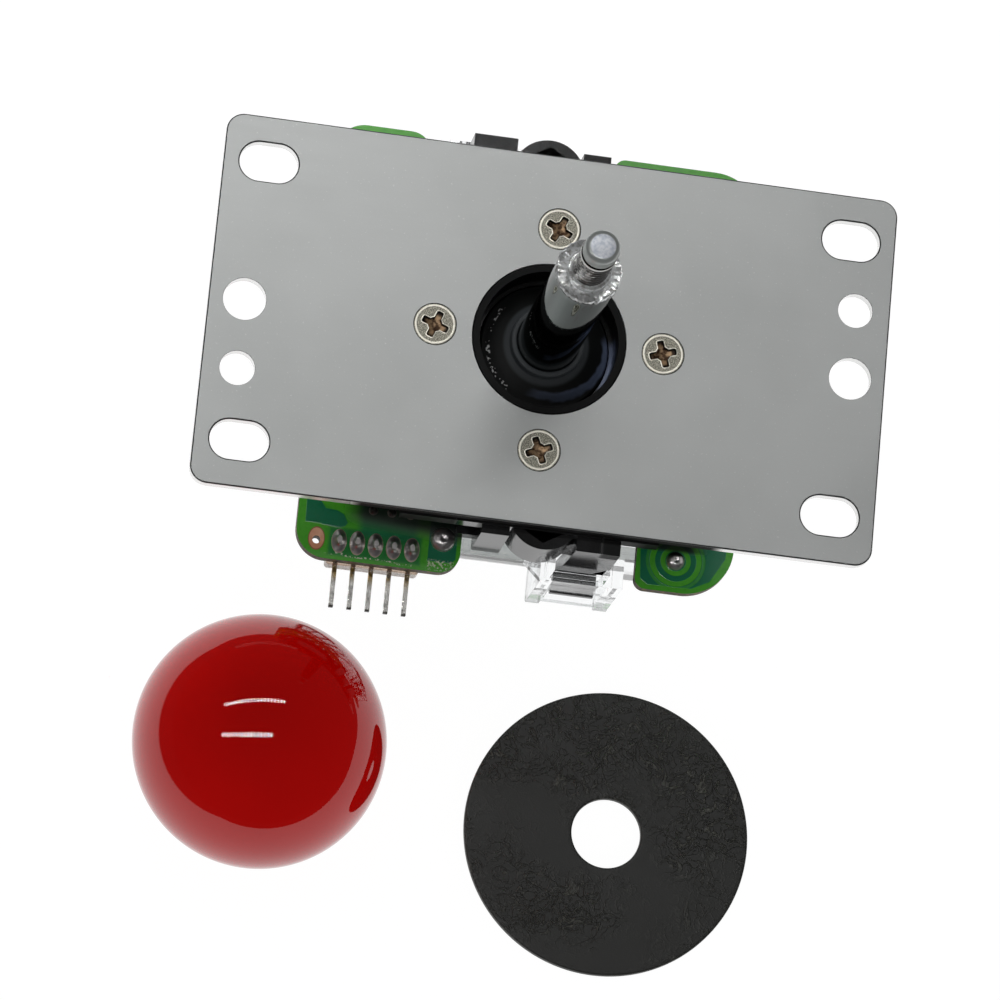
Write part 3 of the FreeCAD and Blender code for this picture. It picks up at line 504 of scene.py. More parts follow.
SCREW_CIRCLE = 16.0 * MM
HEAD_RADIUS = 3.0 * MM
SHANK_RADIUS = 1.5 * MM
HEAD_DEPTH = HEAD_RADIUS - SHANK_RADIUS
SCREW_LENGTH = 8.6 * MM
SCREW_PITCH = 0.5 * MM
SCREW_THREAD = 0.28 * MM
SCREW_COLUMNS = 132
HEAD_RINGS = 60
SHANK_ROWS = 100
RIM_ROUND = 0.14 * MM
ARM_REACH = 1.92 * MM
ARM_HALF = 0.46 * MM
ARM_ROUND = 0.22 * MM
CROSS_MIDDLE = 0.98 * MM
RING_RADIUS = 2.68 * MM
CROSS_DEPTH = 1.0 * MM
CROSS_SLOPE = 0.35
WALL_SLOPE = 0.10 * MM
CROSS_BURR = 0.03 * MM
RING_BURR = 0.02 * MM
BURR_SPREAD = 0.13 * MM
SCREW_TURNS = {0: 18.0, 90: 65.0, 180: 70.0, 270: 22.0}


def ring_faces(rows, columns, start):
    """Quads that join each ring of a grid of points to the next. The last column joins
    the first."""
    index = start + np.arange(rows * columns).reshape(rows, columns)
    index = np.hstack([index, index[:, :1]])
    quads = [index[:-1, :-1], index[:-1, 1:], index[1:, 1:], index[1:, :-1]]
    return np.stack(quads, axis=-1).reshape(-1, 4)


def skinned(name, grids, material, angle=SHARP_ANGLE):
    """One mesh from grids whose rows are rings of points. Doubles at seams and poles are
    merged and the faces are turned outwards."""
    points, faces, start = [], [], 0
    for grid in grids:
        rows, columns = grid.shape[:2]
        points.append(grid.reshape(-1, 3))
        faces.append(ring_faces(rows, columns, start))
        start += rows * columns
    mesh = bpy.data.meshes.new(name)
    mesh.from_pydata(np.concatenate(points).tolist(), [], np.concatenate(faces).tolist())
    shape = bmesh.new()
    shape.from_mesh(mesh)
    bmesh.ops.remove_doubles(shape, verts=shape.verts, dist=SAME_POINT / 2)
    bmesh.ops.recalc_face_normals(shape, faces=shape.faces)
    shape.to_mesh(mesh)
    shape.free()
    mesh.materials.append(material)
    smooth_shaded(mesh, angle)
    return link_to_scene(name, mesh)


def lathe(outline, columns, centre=(0.0, 0.0)):
    """Turns an outline of (radius, height) about an upright axis: radius times the
    cosine and sine of each angle, at the same height."""
    outline = np.array(outline)
    turn = np.linspace(0, 2 * np.pi, columns, endpoint=False)
    x = centre[0] + outline[:, :1] * np.cos(turn)
    y = centre[1] + outline[:, :1] * np.sin(turn)
    return np.stack([x, y, np.broadcast_to(outline[:, 1:], x.shape)], axis=-1)


def arc(centre, radius, start, end, count):
    """Points of an outline on an arc, from one angle to another in degrees."""
    turn = np.radians(np.linspace(start, end, count))
    return np.stack([centre[0] + radius * np.cos(turn), centre[1] + radius * np.sin(turn)], -1)


def smooth_step(value, start, end):
    share = np.clip((value - start) / (end - start), 0, 1)
    return share * share * (3 - 2 * share)


def threaded(radius, height, turn, pitch, depth):
    """A screw thread: the radius falls by a rounded tooth that climbs one pitch a turn."""
    phase = (height / pitch - turn / (2 * np.pi)) % 1.0
    return radius - depth * smooth_step(np.abs(2 * phase - 1), 0.15, 0.85)


def heading(degrees):
    """The level unit vector at this angle from X: its cosine, its sine and 0."""
    turn = math.radians(degrees)
    return np.array([math.cos(turn), math.sin(turn), 0.0])


def cross_head(degrees):
    """The screw's top: flat, less a cross whose two arms are rounded bars and whose middle
    is a disc. The recess is deepest in the middle, its walls slope a little, and its edge
    and a ring near the rim stand up as worn burrs."""
    radius = np.linspace(0, 1, HEAD_RINGS)[:, None] ** 0.85 * (HEAD_RADIUS - RIM_ROUND)
    turn = np.linspace(0, 2 * np.pi, SCREW_COLUMNS, endpoint=False)
    x, y = radius * np.cos(turn), radius * np.sin(turn)
    outside = np.hypot(x, y) - CROSS_MIDDLE
    for along, across in ((x, y), (y, x)):
        past_end = np.maximum(np.abs(along) - ARM_REACH + ARM_ROUND, 0)
        past_side = np.maximum(np.abs(across) - ARM_HALF + ARM_ROUND, 0)
        outside = np.minimum(outside, np.hypot(past_end, past_side) - ARM_ROUND)
    inside = 1 - smooth_step(outside, -WALL_SLOPE, WALL_SLOPE / 3)
    depth = inside * (CROSS_DEPTH - CROSS_SLOPE * radius)
    burr = CROSS_BURR * np.exp(-((outside / BURR_SPREAD) ** 2)) * (outside > 0)
    burr = burr + RING_BURR * np.exp(-(((radius - RING_RADIUS) / BURR_SPREAD) ** 2))
    burr[-1] = 0
    flat = x[..., None] * heading(degrees) + y[..., None] * heading(degrees + 90)
    return flat + (burr - depth)[..., None] * [0, 0, 1]


def screw_shank():
    """The rim's round, the cone under the head and a threaded shank down to its point."""
    rim = arc((HEAD_RADIUS - RIM_ROUND, -RIM_ROUND), RIM_ROUND, 90, -20, 7)
    foot = np.array([(SHANK_RADIUS, -HEAD_DEPTH)])
    rows = np.linspace(-HEAD_DEPTH - 0.2 * MM, -SCREW_LENGTH + 0.5 * MM, SHANK_ROWS)
    shank = np.stack([np.full(SHANK_ROWS, SHANK_RADIUS), rows], axis=-1)
    outline = np.concatenate([rim, foot, shank])
    turn = np.linspace(0, 2 * np.pi, SCREW_COLUMNS, endpoint=False)
    height = np.broadcast_to(outline[:, 1:], (len(outline), SCREW_COLUMNS))
    radius = np.broadcast_to(outline[:, :1], height.shape).copy()
    radius[len(rim) + 1:] = threaded(
        SHANK_RADIUS, height[len(rim) + 1:], turn, SCREW_PITCH, SCREW_THREAD
    )
    body = np.stack([radius * np.cos(turn), radius * np.sin(turn), height], axis=-1)
    point = np.zeros((1, SCREW_COLUMNS, 3))
    point[..., 2] = -SCREW_LENGTH
    return np.concatenate([body, point])


def plating_with_painted_glints():
    """Dull plating with a painted highlight on the raised burrs, over a recess whose walls are
    painted near black as shade and whose floor is brown.
    """
    nodes, place, done = new_material("plating_with_painted_glints")
    height = nodes.axes(place)["Z"]
    in_recess = height.rise(-0.02 * MM, -0.10 * MM)
    recess_floor = height.rise(-0.35 * MM, -0.62 * MM)
    # Painted highlight: the raised burrs are painted pale cream for the glint that they catch.
    wear_and_glint = height.rise(0.004 * MM, 0.011 * MM)
    stain = nodes.noise(place, 0.8 * MM, 5.0)
    pits = nodes.noise(place, 0.16 * MM, 3.0)
    top = nodes.blend(
        shown_colour(98, 96, 86), shown_colour(182, 179, 164), pits.rise(0.38, 0.62)
    )
    top = nodes.blend(top, shown_colour(252, 248, 234), wear_and_glint * stain.rise(0.20, 0.40))
    brown = nodes.blend(
        shown_colour(78, 56, 38), shown_colour(196, 164, 128), stain.rise(0.40, 0.62)
    )
    # Painted shade: the recess's walls are painted near black where light does not reach, over a
    # brown floor.
    wall = nodes.blend(shown_colour(26, 20, 16), brown, recess_floor)
    tone = nodes.blend(top, wall, in_recess)
    rough = 0.34 + pits * 0.16 + recess_floor * 0.10
    return done(
        Base_Color=tone, Metallic=0.7, Roughness=rough,
        Normal=bump(nodes, pits * 0.6 + stain * 0.4, 0.012 * MM),
    )


screw_plating = plating_with_painted_glints()
screws = []
for side, degrees in SCREW_TURNS.items():
    spot = heading(side) * SCREW_CIRCLE
    screws += [cross_head(degrees) + spot, screw_shank() + spot]
fitted(skinned("cross_screws", screws, screw_plating, angle=24), "plate_screws")


def zinc_nut():
    nodes, place, done = new_material("zinc_nut")
    pits = nodes.noise(place, 0.4 * MM, 4.0)
    tone = nodes.blend(shown_colour(150, 150, 146), shown_colour(190, 190, 186), pits)
    return done(Base_Color=tone, Metallic=1.0, Roughness=0.3 + pits * 0.15)


worked("plate_nuts", zinc_nut(), name="hexagon_nuts")

# Ball pivot: black acetal, turned with a neck round the lever. It lies in the
# housing's seat in white grease, which shows as a pale smear, painted with its wet
# highlight, and a few flecks.

SMEAR_CENTRE = (0.85 * MM, 0.60 * MM)
SMEAR_RADIUS = 7.8 * MM
SMEAR_HALF = 0.75 * MM
FLECK_RADIUS = 8.0 * MM


def greased_acetal():
    """Black, painted paler on the neck as light, with grease: a smear low on the right, painted
    pale as its wet highlight, and flecks on the left.
    """
    nodes, place, done = new_material("greased_acetal")
    at = nodes.axes(place)
    reach = distance(at["X"], at["Y"])
    wave = nodes.noise(place, 3.0 * MM, 2.0)
    smear_reach = distance(at["X"] - SMEAR_CENTRE[0], at["Y"] - SMEAR_CENTRE[1])
    smear_reach = smear_reach + (wave - 0.5) * (1.2 * MM)
    band = abs(smear_reach - SMEAR_RADIUS).rise(SMEAR_HALF, 0.3 * MM)
    lower_right = (at["X"] * 0.7 - at["Y"] * 0.75).rise(3.4 * MM, 5.2 * MM)
    smear = band * lower_right * (0.45 + at["X"].rise(0.0, 7.0 * MM) * 0.55)
    flecks = nodes.noise(place, 0.55 * MM, 2.0).rise(0.54, 0.59)
    left = (at["X"] * -1.0 - at["Y"] * 0.15).rise(5.0 * MM, 6.0 * MM)
    dots = flecks * left * abs(reach - FLECK_RADIUS).rise(0.32 * MM, 0.18 * MM)
    black = shown_colour(21, 23, 23)
    # Painted light: the neck, down in the bowl's shade, is painted paler than the black.
    neck = at["Z"].rise(-4.2 * MM, -2.6 * MM) * reach.rise(6.3 * MM, 5.7 * MM)
    black = nodes.blend(black, shown_colour(66, 70, 73), neck)
    # Real grease, painted pale and bluish with its wet highlight.
    tone = nodes.blend(black, shown_colour(104, 116, 142), smear)
    tone = nodes.blend(tone, shown_colour(235, 235, 235), dots)
    rings = nodes.add(
        "TexWave", {"wave_type": "RINGS", "rings_direction": "Z"},
        {"Vector": place, "Scale": 900.0, "Distortion": 0.4}, 1,
    )
    rough = 0.42 + wave * 0.16 - smear * 0.12
    return done(
        Base_Color=tone, Roughness=rough, IOR=1.35,
        Normal=bump(nodes, rings * 0.15 + wave * 0.85, 0.02 * MM),
    )


worked("pivot_ball", greased_acetal(), width=0.2 * MM, name="ball_pivot")

# Lever: one turned, plated and polished steel shaft. Its shoulder has a ragged
# burr, and the stud above it has a step, a shallow thread and a rounded dog point.

LEVER_COLUMNS = 176
SHAFT_ROWS = 24
THREAD_ROWS = 110
FOOT_RADIUS = 3.0 * MM
GROOVE_RADIUS = 2.3 * MM
GROOVE_TOP = -29.0 * MM
GROOVE_FOOT = GROOVE_TOP - 0.8 * MM
SHAFT_FOOT = -8.0 * MM
SHAFT_RADIUS = 4.3 * MM
SHOULDER = 33.0 * MM
STEP_TOP = SHOULDER + 0.8 * MM
STUD_TOP = 41.4 * MM
THREAD_RADIUS = 2.45 * MM
THREAD_DEPTH = 0.04 * MM
THREAD_PITCH = 1.0 * MM
TIP_RADIUS = 2.37 * MM
BURR = 0.09 * MM
burr_seed = np.random.default_rng(12)


def lever_surface():
    """The lever's outline turned about Z, with a thread on the stud and a burr on the
    shoulder. The burr adds sines of many angles to the rim's radius and height."""
    low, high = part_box("lever_shaft")
    foot, tip = low[2], high[2]
    shaft_rows = np.linspace(SHAFT_FOOT + 1 * MM, SHOULDER - 1.2 * MM, SHAFT_ROWS)
    thread_rows = np.linspace(STEP_TOP + 0.1 * MM, STUD_TOP - 0.9 * MM, THREAD_ROWS)
    outline = np.concatenate([
        [(0, foot), (FOOT_RADIUS - 0.5 * MM, foot), (FOOT_RADIUS, foot + 0.5 * MM)],
        [(FOOT_RADIUS, GROOVE_FOOT), (GROOVE_RADIUS, GROOVE_FOOT), (GROOVE_RADIUS, GROOVE_TOP)],
        [(FOOT_RADIUS, GROOVE_TOP), (FOOT_RADIUS, SHAFT_FOOT), (SHAFT_RADIUS, SHAFT_FOOT)],
        np.stack([np.full(SHAFT_ROWS, SHAFT_RADIUS), shaft_rows], -1),
        [(4.32 * MM, SHOULDER - 0.9 * MM), (4.42 * MM, SHOULDER - 0.7 * MM)],
        [(4.45 * MM, SHOULDER - 0.45 * MM), (4.44 * MM, SHOULDER - 0.2 * MM)],
        [(4.30 * MM, SHOULDER), (4.05 * MM, SHOULDER - 0.03 * MM)],
        [(3.6 * MM, SHOULDER - 0.05 * MM), (2.95 * MM, SHOULDER - 0.05 * MM)],
        arc((2.75 * MM, STEP_TOP - 0.2 * MM), 0.2 * MM, 0, 90, 5),
        [(2.55 * MM, STEP_TOP)],
        np.stack([np.full(THREAD_ROWS, THREAD_RADIUS), thread_rows], -1),
        [(2.3 * MM, STUD_TOP - 0.8 * MM), (2.46 * MM, STUD_TOP - 0.7 * MM)],
        arc((2.2 * MM, STUD_TOP - 0.28 * MM), 0.26 * MM, 0, 90, 5),
        [(2.02 * MM, STUD_TOP), (2.02 * MM, STUD_TOP + 0.35 * MM)],
        [(TIP_RADIUS, STUD_TOP + 0.5 * MM), (TIP_RADIUS, tip - 0.95 * MM)],
        arc((TIP_RADIUS - 0.9 * MM, tip - 0.95 * MM), 0.9 * MM, 12, 78, 8),
        [(0.8 * MM, tip - 0.01 * MM), (0, tip)],
    ])
    turn = np.linspace(0, 2 * np.pi, LEVER_COLUMNS, endpoint=False)
    radius = np.repeat(outline[:, :1], LEVER_COLUMNS, axis=1)
    height = np.repeat(outline[:, 1:], LEVER_COLUMNS, axis=1)
    cut = (height > STEP_TOP + 0.05 * MM) & (height < STUD_TOP - 0.85 * MM)
    ends = smooth_step(height, STEP_TOP, STEP_TOP + 0.8 * MM)
    ends *= 1 - smooth_step(height, STUD_TOP - 1.5 * MM, STUD_TOP - 0.9 * MM)
    threads = threaded(THREAD_RADIUS, height, turn, THREAD_PITCH, THREAD_DEPTH)
    runout = THREAD_RADIUS - THREAD_DEPTH
    radius = np.where(cut, runout + (threads - runout) * ends, radius)
    waves = np.arange(7, 60)[:, None]
    phases = burr_seed.uniform(0, 2 * np.pi, (2, len(waves), 1))
    ragged = [(np.sin(waves * turn + phase) / np.sqrt(len(waves))).sum(0) for phase in phases]
    on_rim = np.exp(-(((height - SHOULDER + 0.35 * MM) / (0.45 * MM)) ** 2))
    on_rim *= smooth_step(radius, 3.9 * MM, 4.3 * MM)
    radius = radius + BURR * on_rim * ragged[0]
    height = height + BURR * 1.1 * on_rim * ragged[1]
    return np.stack([radius * np.cos(turn), radius * np.sin(turn), height], axis=-1)


def polished_plating():
    """Dark mirror on the shaft with brown streaks. Painted highlights: bluish white on the tip,
    and pale on the shoulder, the ring and the cap. The stud is painted brown as a dark reflection,
    with a painted highlight on its west side, the neck is painted near black as shade, and dirt
    lies on the shoulder."""
    nodes, place, done = new_material("polished_plating")
    at = nodes.axes(place)
    height = at["Z"]
    reach = distance(at["X"], at["Y"])
    drawn = nodes.noise(nodes.stretched(place, 1.0, 1.0, 0.04), 0.6 * MM, 4.0)
    turned = nodes.noise(nodes.stretched(place, 0.05, 0.05, 1.0), 0.12 * MM, 3.0)
    pits = nodes.noise(place, 0.5 * MM, 5.0)
    stud = height.rise(STEP_TOP + 0.1 * MM, STEP_TOP + 0.5 * MM)
    top = height.rise(SHOULDER - 1.0 * MM, SHOULDER - 0.4 * MM)
    tip = height.rise(43.0 * MM, 43.5 * MM) * reach.rise(1.78 * MM, 1.56 * MM)
    cap = height.rise(STUD_TOP + 0.22 * MM, STUD_TOP + 0.38 * MM)
    ring = height.rise(STUD_TOP - 0.85 * MM, STUD_TOP - 0.68 * MM)
    ring = ring * height.rise(STUD_TOP - 0.10 * MM, STUD_TOP - 0.20 * MM)
    neck = height.rise(STUD_TOP - 0.20 * MM, STUD_TOP - 0.12 * MM)
    neck = neck * height.rise(STUD_TOP + 0.44 * MM, STUD_TOP + 0.36 * MM)
    tone = nodes.blend(shown_colour(84, 92, 90), shown_colour(98, 106, 104), drawn)
    # Painted highlight: the shoulder is painted pale and made less metallic, for the glints that
    # its burr catches.
    shoulder = nodes.blend(shown_colour(206, 210, 210), shown_colour(240, 242, 242), pits)
    tone = nodes.blend(tone, shoulder, top)
    # Brown streaks down the shaft.
    brown_streak = nodes.noise(nodes.stretched(place, 1.0, 1.0, 0.12), 1.3 * MM, 3.0).rise(0.60, 0.70)
    tone = nodes.blend(tone, shown_colour(70, 52, 44), brown_streak * (1 - top) * 0.7)
    # Painted reflection: the stud is painted dark brown, with a painted highlight on its west side.
    painted_stud_reflection = nodes.blend(
        shown_colour(40, 33, 30), shown_colour(226, 224, 222),
        at["X"].rise(-0.8 * MM, -2.0 * MM) * pits.rise(0.44, 0.58),
    )
    tone = nodes.blend(tone, painted_stud_reflection, stud)
    # Painted highlights: the ring under the neck is painted near white and the cap pale grey, both
    # less metallic.
    tone = nodes.blend(tone, shown_colour(238, 238, 236), ring)
    tone = nodes.blend(tone, shown_colour(168, 172, 170), cap)
    # Painted shade: the neck's groove is painted near black.
    tone = nodes.blend(tone, shown_colour(20, 17, 16), neck)
    dirt = pits.rise(0.50, 0.62) * top * (1 - ring) * (1 - cap)
    dirty = nodes.blend(tone, shown_colour(88, 68, 56), dirt * 0.45)
    # Painted highlight: the flat of the tip is painted bluish white and made less metallic.
    painted_tip_highlight = nodes.blend(
        shown_colour(204, 212, 224), shown_colour(246, 249, 255), pits.rise(0.3, 0.7)
    )
    tone = nodes.blend(dirty, painted_tip_highlight, tip)
    rough = 0.02 + drawn * 0.03 + top * 0.13 - stud * 0.05 + cap * 0.22 + ring * 0.14
    relief = nodes.noise(place, 1.6 * MM, 3.0) * 0.3 + turned * 0.5 * top + drawn * 0.2
    return done(
        Base_Color=tone, Roughness=rough,
        Metallic=1 - top * 0.45 + stud * 0.42 - cap * 0.52 - ring * 0.35 - tip * 0.30,
        Normal=bump(nodes, relief, 0.012 * MM),
    )


lever = skinned("polished_lever", [lever_surface()], polished_plating(), angle=28)
fitted(lever, "lever_shaft")

# Spring seat, return spring, actuator and retaining clip: the works under the
# pivot. The coil has ground, closed ends and stands in the cup, just short of the seat.

COIL_RADIUS = 5.6 * MM
WIRE_RADIUS = 0.5 * MM
COIL_TURNS = 5.0
DEAD_TURNS = 0.75
SEAT_PLAY = 0.95 * MM
COIL_POINTS = 420
WIRE_SIDES = 14


def coil_surface():
    """A wire round a helix that climbs slowly at both ends: round each point of the helix
    the wire's circle lies in the upright plane through the axis. Its top stops short of
    the seat by the play that it needs to tilt."""
    low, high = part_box("return_spring")
    foot, top = low[2] + WIRE_RADIUS, high[2] - WIRE_RADIUS - SEAT_PLAY
    share = np.linspace(0, 1, COIL_POINTS)
    turn = 2 * np.pi * (COIL_TURNS + 2 * DEAD_TURNS) * share
    dead = DEAD_TURNS / (COIL_TURNS + 2 * DEAD_TURNS)
    live = np.clip((share - dead) / (1 - 2 * dead), 0, 1)
    climb = 0.9 * WIRE_RADIUS * 2
    height = foot + np.minimum(share / dead, 1) * climb * 0.5
    height = height + live * (top - foot - climb)
    height = height + np.maximum((share - 1 + dead) / dead, 0) * climb * 0.5
    middle = np.stack([COIL_RADIUS * np.cos(turn), COIL_RADIUS * np.sin(turn), height], -1)
    outward = np.stack([np.cos(turn), np.sin(turn), np.zeros_like(turn)], -1)[:, None]
    round_wire = np.linspace(0, 2 * np.pi, WIRE_SIDES, endpoint=False)
    upward = np.array([0.0, 0.0, 1.0])
    offset = outward * np.cos(round_wire)[:, None] + upward * np.sin(round_wire)[:, None]
    tube = middle[:, None] + WIRE_RADIUS * offset
    tube[..., 2] = np.clip(tube[..., 2], low[2], high[2] - SEAT_PLAY)
    first = np.repeat(middle[:1, None], WIRE_SIDES, axis=1)
    last = np.repeat(middle[-1:, None], WIRE_SIDES, axis=1)
    return np.concatenate([first, tube, last])


def drawn_wire():
    nodes, place, done = new_material("drawn_wire")
    streak = nodes.noise(place, 0.7 * MM, 4.0)
    tone = nodes.blend(shown_colour(120, 120, 122), shown_colour(176, 176, 178), streak)
    return done(Base_Color=tone, Metallic=1.0, Roughness=0.25 + streak * 0.2)


spring_wire = drawn_wire()
spring = skinned("coil_spring", [coil_surface()], spring_wire, angle=60)
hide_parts("return_spring")
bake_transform(spring)

acetal = moulded_black("acetal_black", 22, 0.28, 0.5, 0.003)
worked("spring_seat", acetal, name="seat_ring")
worked("actuator", acetal, width=0.2 * MM, name="actuator_cup")
worked("retaining_clip", spring_wire, width=0.08 * MM, name="open_clip")

# Circuit board: green solder mask over copper on brown glass epoxy. The mask is
# darker over the copper, and one pad at the west corner is bare.

BRIGHT_GREEN = (78, 176, 44)
DEEP_GREEN = (38, 132, 58)
TEAL = (24, 118, 82)
TRACES = [[(-26.6, -27.7), (-26.6, -31.7), (-13.7, -31.7), (-13.7, -27.7)]]
WIDE_TRACE = [(-23.1, -22.0), (-23.1, -29.2), (-13.7, -29.2), (-13.7, -22.0)]
COPPER = [
    [(-30.2, -22.0), (-30.05, -27.4), (-26.4, -27.4), (-27.45, -25.1), (-29.3, -22.7)],
    [(-27.8, -25.15), (-27.8, -27.5), (-25.3, -27.7), (-24.5, -27.4), (-24.2, -26.9),
     (-24.8, -25.75), (-25.8, -25.3)],
    [(-12.7, -22.0), (-12.7, -30.8), (-9.4, -30.8), (-8.8, -30.2), (-8.8, -22.0)],
    [(16.9, -20.0), (16.9, -25.75), (17.15, -29.45), (18.2, -30.2), (24.4, -30.1),
     (26.9, -28.8), (28.9, -25.3), (29.2, -20.0)],
    [(-29.4, -17.4), (-19.4, -17.4), (-19.4, 17.4), (-29.4, 17.4)],
    [(19.4, -17.4), (28.6, -17.4), (28.6, 17.4), (19.4, 17.4)],
    [(-29.2, 19.0), (-19.0, 19.0), (-19.0, 29.6), (-29.2, 29.6)],
    [(10.5, 19.5), (28.6, 19.5), (28.6, 29.4), (10.5, 29.4)],
]
RING_CENTRE = (21.95, -26.4)
RINGS = ((1.8, 0.28, 1.0), (3.3, 0.32, 1.0), (4.0, 0.16, 0.5))
PAD_CENTRE = (-28.3, -29.6)
PAD_SIZE = (1.16, 1.66)
FLUX_LINE = -32.0
FLUX_CORNER = [(-12.6, -30.7), (-12.6, -31.9), (-9.6, -31.9), (-9.0, -30.7)]


def beyond(x, y, corners):
    """How far a point lies outside the farthest side of a convex polygon, whose corners
    run anticlockwise. It is less than 0 inside."""
    apart = None
    for (x0, y0), (x1, y1) in zip(corners, corners[1:] + corners[:1]):
        length = math.hypot(x1 - x0, y1 - y0)
        right, up = (y1 - y0) / length, (x0 - x1) / length
        side = x * right + y * up - (x0 * right + y0 * up)
        apart = side if apart is None else apart.most(side)
    return apart


def covered(x, y, polygons, blur):
    """1 inside any of the polygons and 0 outside all of them."""
    inside = None
    for corners in polygons:
        one = beyond(x, y, corners).rise(blur, -blur)
        inside = one if inside is None else inside.most(one)
    return inside


def board_finish():
    """Places are in millimetres. The mask is teal over copper, except in a few rings, and
    deep green over traces. Flux crumbs lie on it towards the south, and the plate's shadow is
    painted near black on it beside the housing."""
    nodes, place, done = new_material("solder_mask")
    at = nodes.axes(place)
    x, y = at["X"] / MM, at["Y"] / MM
    on_top = abs(nodes.upward()).rise(0.6, 0.8)
    weave = nodes.noise(place, 0.5 * MM, 2.0)
    cloud = nodes.noise(place, 3 * MM, 3.0)
    reach = distance(x - RING_CENTRE[0], y - RING_CENTRE[1])
    bare_ring = None
    for radius, half, share in RINGS:
        band = abs(reach - radius).rise(half + 0.12, half) * share
        bare_ring = band if bare_ring is None else bare_ring.most(band)
    over = covered(x, y, COPPER, 0.10) * (1 - bare_ring)
    deep = covered(x, y, TRACES, 0.35).most(cloud.rise(0.5, 0.8) * 0.4)
    mask = nodes.blend(shown_colour(*BRIGHT_GREEN), shown_colour(*DEEP_GREEN), deep)
    wide = beyond(x, y, WIDE_TRACE)
    mask = nodes.blend(mask, shown_colour(*TEAL), over.most(wide.rise(0.1, -1.4) * 0.8))
    mask = nodes.blend(mask, shown_colour(20, 96, 40), weave.rise(0.5, 0.8) * 0.22)
    pad_x, pad_y = (x - PAD_CENTRE[0]) / PAD_SIZE[0], (y - PAD_CENTRE[1]) / PAD_SIZE[1]
    pad_reach = pad_x * pad_x + pad_y * pad_y
    pad = pad_reach.rise(1.08, 0.94) * on_top
    wear_and_glint = nodes.blend(
        shown_colour(214, 146, 110), shown_colour(240, 184, 152), cloud.rise(0.35, 0.65)
    )
    wear_and_glint = nodes.blend(wear_and_glint, shown_colour(140, 66, 44), pad_reach.rise(0.72, 0.95))
    face = nodes.blend(mask, wear_and_glint, pad)
    crumbs = nodes.noise(place, 0.34 * MM, 3.0).rise(0.50, 0.58)
    sag = nodes.noise(place, 2.6 * MM, 1.0)
    line = x * -0.02 + FLUX_LINE + (sag - 0.5) * 1.2
    flux = abs(y - line).rise(0.16, 0.05) * x.rise(-27.2, -26.6) * x.rise(-14.6, -15.2)
    corner = beyond(x, y, FLUX_CORNER).rise(0.3, -0.1)
    flux = flux.most(corner * 0.9) * crumbs * on_top
    face = nodes.blend(face, shown_colour(236, 240, 214), flux * 0.85)
    # Painted shadow: the plate's shadow is painted near black on the board beside the housing.
    west_plate_shadow = (y + x * 0.08).rise(-29.4, -27.0) * x.rise(-25.6, -21.6) * x.rise(-6.0, -8.0)
    east_plate_shadow = y.rise(-25.5, -24.7) * x.rise(14.0, 17.0) * x.rise(27.0, 23.5)
    painted_plate_shadow = west_plate_shadow.most(east_plate_shadow) * y.rise(-10.0, -14.0)
    face = nodes.blend(face, shown_colour(9, 14, 11), painted_plate_shadow * 0.93)
    fibre = nodes.noise(nodes.stretched(place, 1.0, 1.0, 8.0), 0.7 * MM, 3.0)
    edge = nodes.blend(shown_colour(24, 34, 16), shown_colour(168, 134, 78), fibre.rise(0.50, 0.66))
    tone = nodes.blend(edge, face, on_top)
    step = over * 0.5 + weave * 0.10 + cloud * 0.1 + flux * 0.8
    rough = 0.58 - on_top * 0.36 + pad * 0.2 + painted_plate_shadow * 0.5
    return done(
        Base_Color=tone, Roughness=rough, Metallic=pad * 0.25,
        Normal=bump(nodes, step, 0.05 * MM),
    )


worked("circuit_board", board_finish(), width=0.05 * MM, name="green_board")

# Microswitches: four sealed black cases soldered under the board, with plungers
# that face the actuator and tinned legs through the board.

case_black = moulded_black("case_black", 30, 0.42)
plunger_black = moulded_black("plunger_black", 44, 0.30)
for place in ("east", "north", "west", "south"):
    worked("switch_case_" + place, case_black, name="sealed_case_" + place)
    worked("switch_plunger_" + place, plunger_black, width=0.05 * MM, name="plunger_" + place)


def tinned_wire():
    """Bright tin, stained near the header, dark at the cut ends and grey in its solder."""
    nodes, place, done = new_material("tinned_wire")
    at = nodes.axes(place)
    stain = nodes.noise(place, 0.9 * MM, 5.0)
    near_base = at["Y"].rise(-35.2 * MM, -33.4 * MM)
    bright = nodes.blend(shown_colour(214, 212, 206), shown_colour(244, 243, 240), stain)
    tone = nodes.blend(bright, shown_colour(58, 54, 46), stain.rise(0.50, 0.60) * 0.6)
    tone = nodes.blend(tone, shown_colour(150, 124, 70), near_base * stain.rise(0.25, 0.55))
    cut_end = at["Y"].rise(-38.0 * MM, -38.3 * MM)
    tone = nodes.blend(tone, shown_colour(38, 34, 28), cut_end)
    soldered = at["Z"].rise(-9.80 * MM, -9.60 * MM)
    tone = nodes.blend(tone, shown_colour(196, 194, 192), soldered)
    return done(
        Base_Color=tone, Metallic=0.85 - soldered * 0.7, Roughness=0.14 + stain * 0.2,
        Normal=bump(nodes, stain, 0.03 * MM),
    )


tinned = tinned_wire()
worked("switch_terminals", tinned, width=0.04 * MM, name="switch_legs")

# Pin header: a clear beige bar under the board's edge, with five right-angled
# square pins whose tips are chamfered.


def clear_beige():
    nodes, place, done = new_material("clear_beige")
    cloud = nodes.noise(place, 1.4 * MM, 4.0)
    height = nodes.axes(place)["Z"]
    stained = height.rise(-12.55 * MM, -12.2 * MM)
    tone = nodes.blend(shown_colour(232, 216, 206), shown_colour(246, 236, 228), cloud)
    tone = nodes.blend(tone, shown_colour(216, 186, 160), stained)
    return done(
        Base_Color=tone, Roughness=0.22 + cloud * 0.1, Transmission_Weight=0.75, IOR=1.4,
        Normal=bump(nodes, cloud, 0.02 * MM),
    )


worked("header_base", clear_beige(), width=0.15 * MM, name="header_bar")
worked("header_pins", tinned, width=0.05 * MM, name="square_pins")

